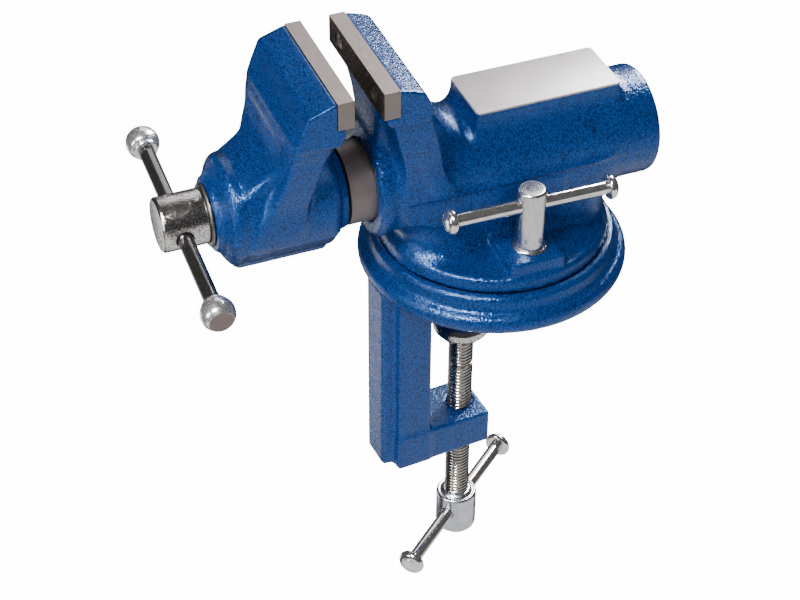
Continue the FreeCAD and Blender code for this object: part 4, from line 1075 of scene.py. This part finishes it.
# Hidden pieces keep their CAD shape
for node in ("main_nut", "nut_screw", "pivot_screw", "lock_nut", "ring_pin", "retaining_ring",
             "pad_retainer"):
    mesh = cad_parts[node].data
    mesh.materials.clear()
    mesh.materials.append(DARK_STEEL)


# Camera, floor and light
def aim(obj, eye, forward, right):
    """Put an object at eye, looking along forward."""
    forward, right = Vector(forward).normalized(), Vector(right).normalized()
    up = right.cross(forward)
    turn = Matrix((right, up, -forward)).transposed().to_4x4()
    obj.matrix_world = Matrix.Translation(eye) @ turn


def lamp(name, eye, size, radiance, shine=True, wash=True):
    """A rectangular light facing the vise, of an even radiance. shine shows it in reflections,
    wash lets it light the surfaces."""
    data = bpy.data.lights.new(name, "AREA")
    data.shape = "RECTANGLE"
    data.size, data.size_y = size
    data.energy = radiance * size[0] * size[1] * math.pi
    obj = new_object(name, data)
    obj.location = eye
    obj.rotation_euler = Vector(eye).to_track_quat("Z", "Y").to_euler()
    obj.visible_camera = False
    obj.visible_glossy = shine
    obj.visible_diffuse = wash


def make_camera():
    """Camera of the photograph's view, fitted to the vise's straight edges and rims."""
    data = bpy.data.cameras.new("camera")
    data.lens = 90.0
    data.sensor_width = 36.0
    data.dof.use_dof = False
    data.clip_end = 200.0
    camera = new_object("camera", data)
    bpy.context.scene.camera = camera
    aim(camera, (-0.3289, -0.7022, 0.6095), (0.28589, 0.71463, -0.63841),
        (0.92993, -0.36772, 0.00481))


def make_floor():
    """Plain pale floor that only the camera sees."""
    half, drop = 40.0 / MM, -0.75
    n = Nodes("pale_floor")
    n.set(Base_Color=n.mix(n.noise(3.0), (0.9, 0.9, 0.9, 1.0), (0.93, 0.93, 0.93, 1.0)),
          Roughness=0.9, Emission_Color=(1.0, 1.0, 1.0, 1.0), Emission_Strength=14.0)
    corners = [(-half, -half, 0), (half, -half, 0), (half, half, 0), (-half, half, 0)]
    floor = mesh_piece("floor", corners, [(0, 1, 2, 3)], n.material)
    floor.location = (0, 0, drop)
    floor.visible_glossy = False
    floor.visible_diffuse = False


def make_lights():
    """Soft boxes, with two bright strips that only show in reflections."""
    world = bpy.data.worlds.new("studio")
    bpy.context.scene.world = world
    world.use_nodes = True
    back = world.node_tree.nodes["Background"]
    back.inputs["Color"].default_value = (1.0, 1.0, 1.0, 1.0)
    back.inputs["Strength"].default_value = 0.07
    lamp("left_box", (-1.15, -0.25, 0.32), (0.3, 0.5), 15.0)
    lamp("right_box", (0.78, 0.58, 0.8), (0.42, 0.3), 26.0)
    lamp("back_wall", (0.72, 1.3, 1.15), (1.5, 1.2), 2.3)
    lamp("key_box", (-0.65, -0.47, 1.02), (0.26, 0.26), 40.0)
    lamp("key_glint", (-0.6, -0.43, 0.95), (0.3, 0.3), 150.0, wash=False)
    lamp("rim_glint", (0.66, 0.52, 0.64), (0.16, 0.75), 95.0, wash=False)
    lamp("head_sweep", (-0.7, 0.8, -0.7), (0.42, 0.6), 3.0)
    lamp("sweep", (0.0, -0.55, -0.7), (3.4, 2.0), 1.1)
    lamp("fill", (0.0, -1.1, 0.9), (1.0, 0.8), 2.7, shine=False)


make_camera()
make_floor()
make_lights()
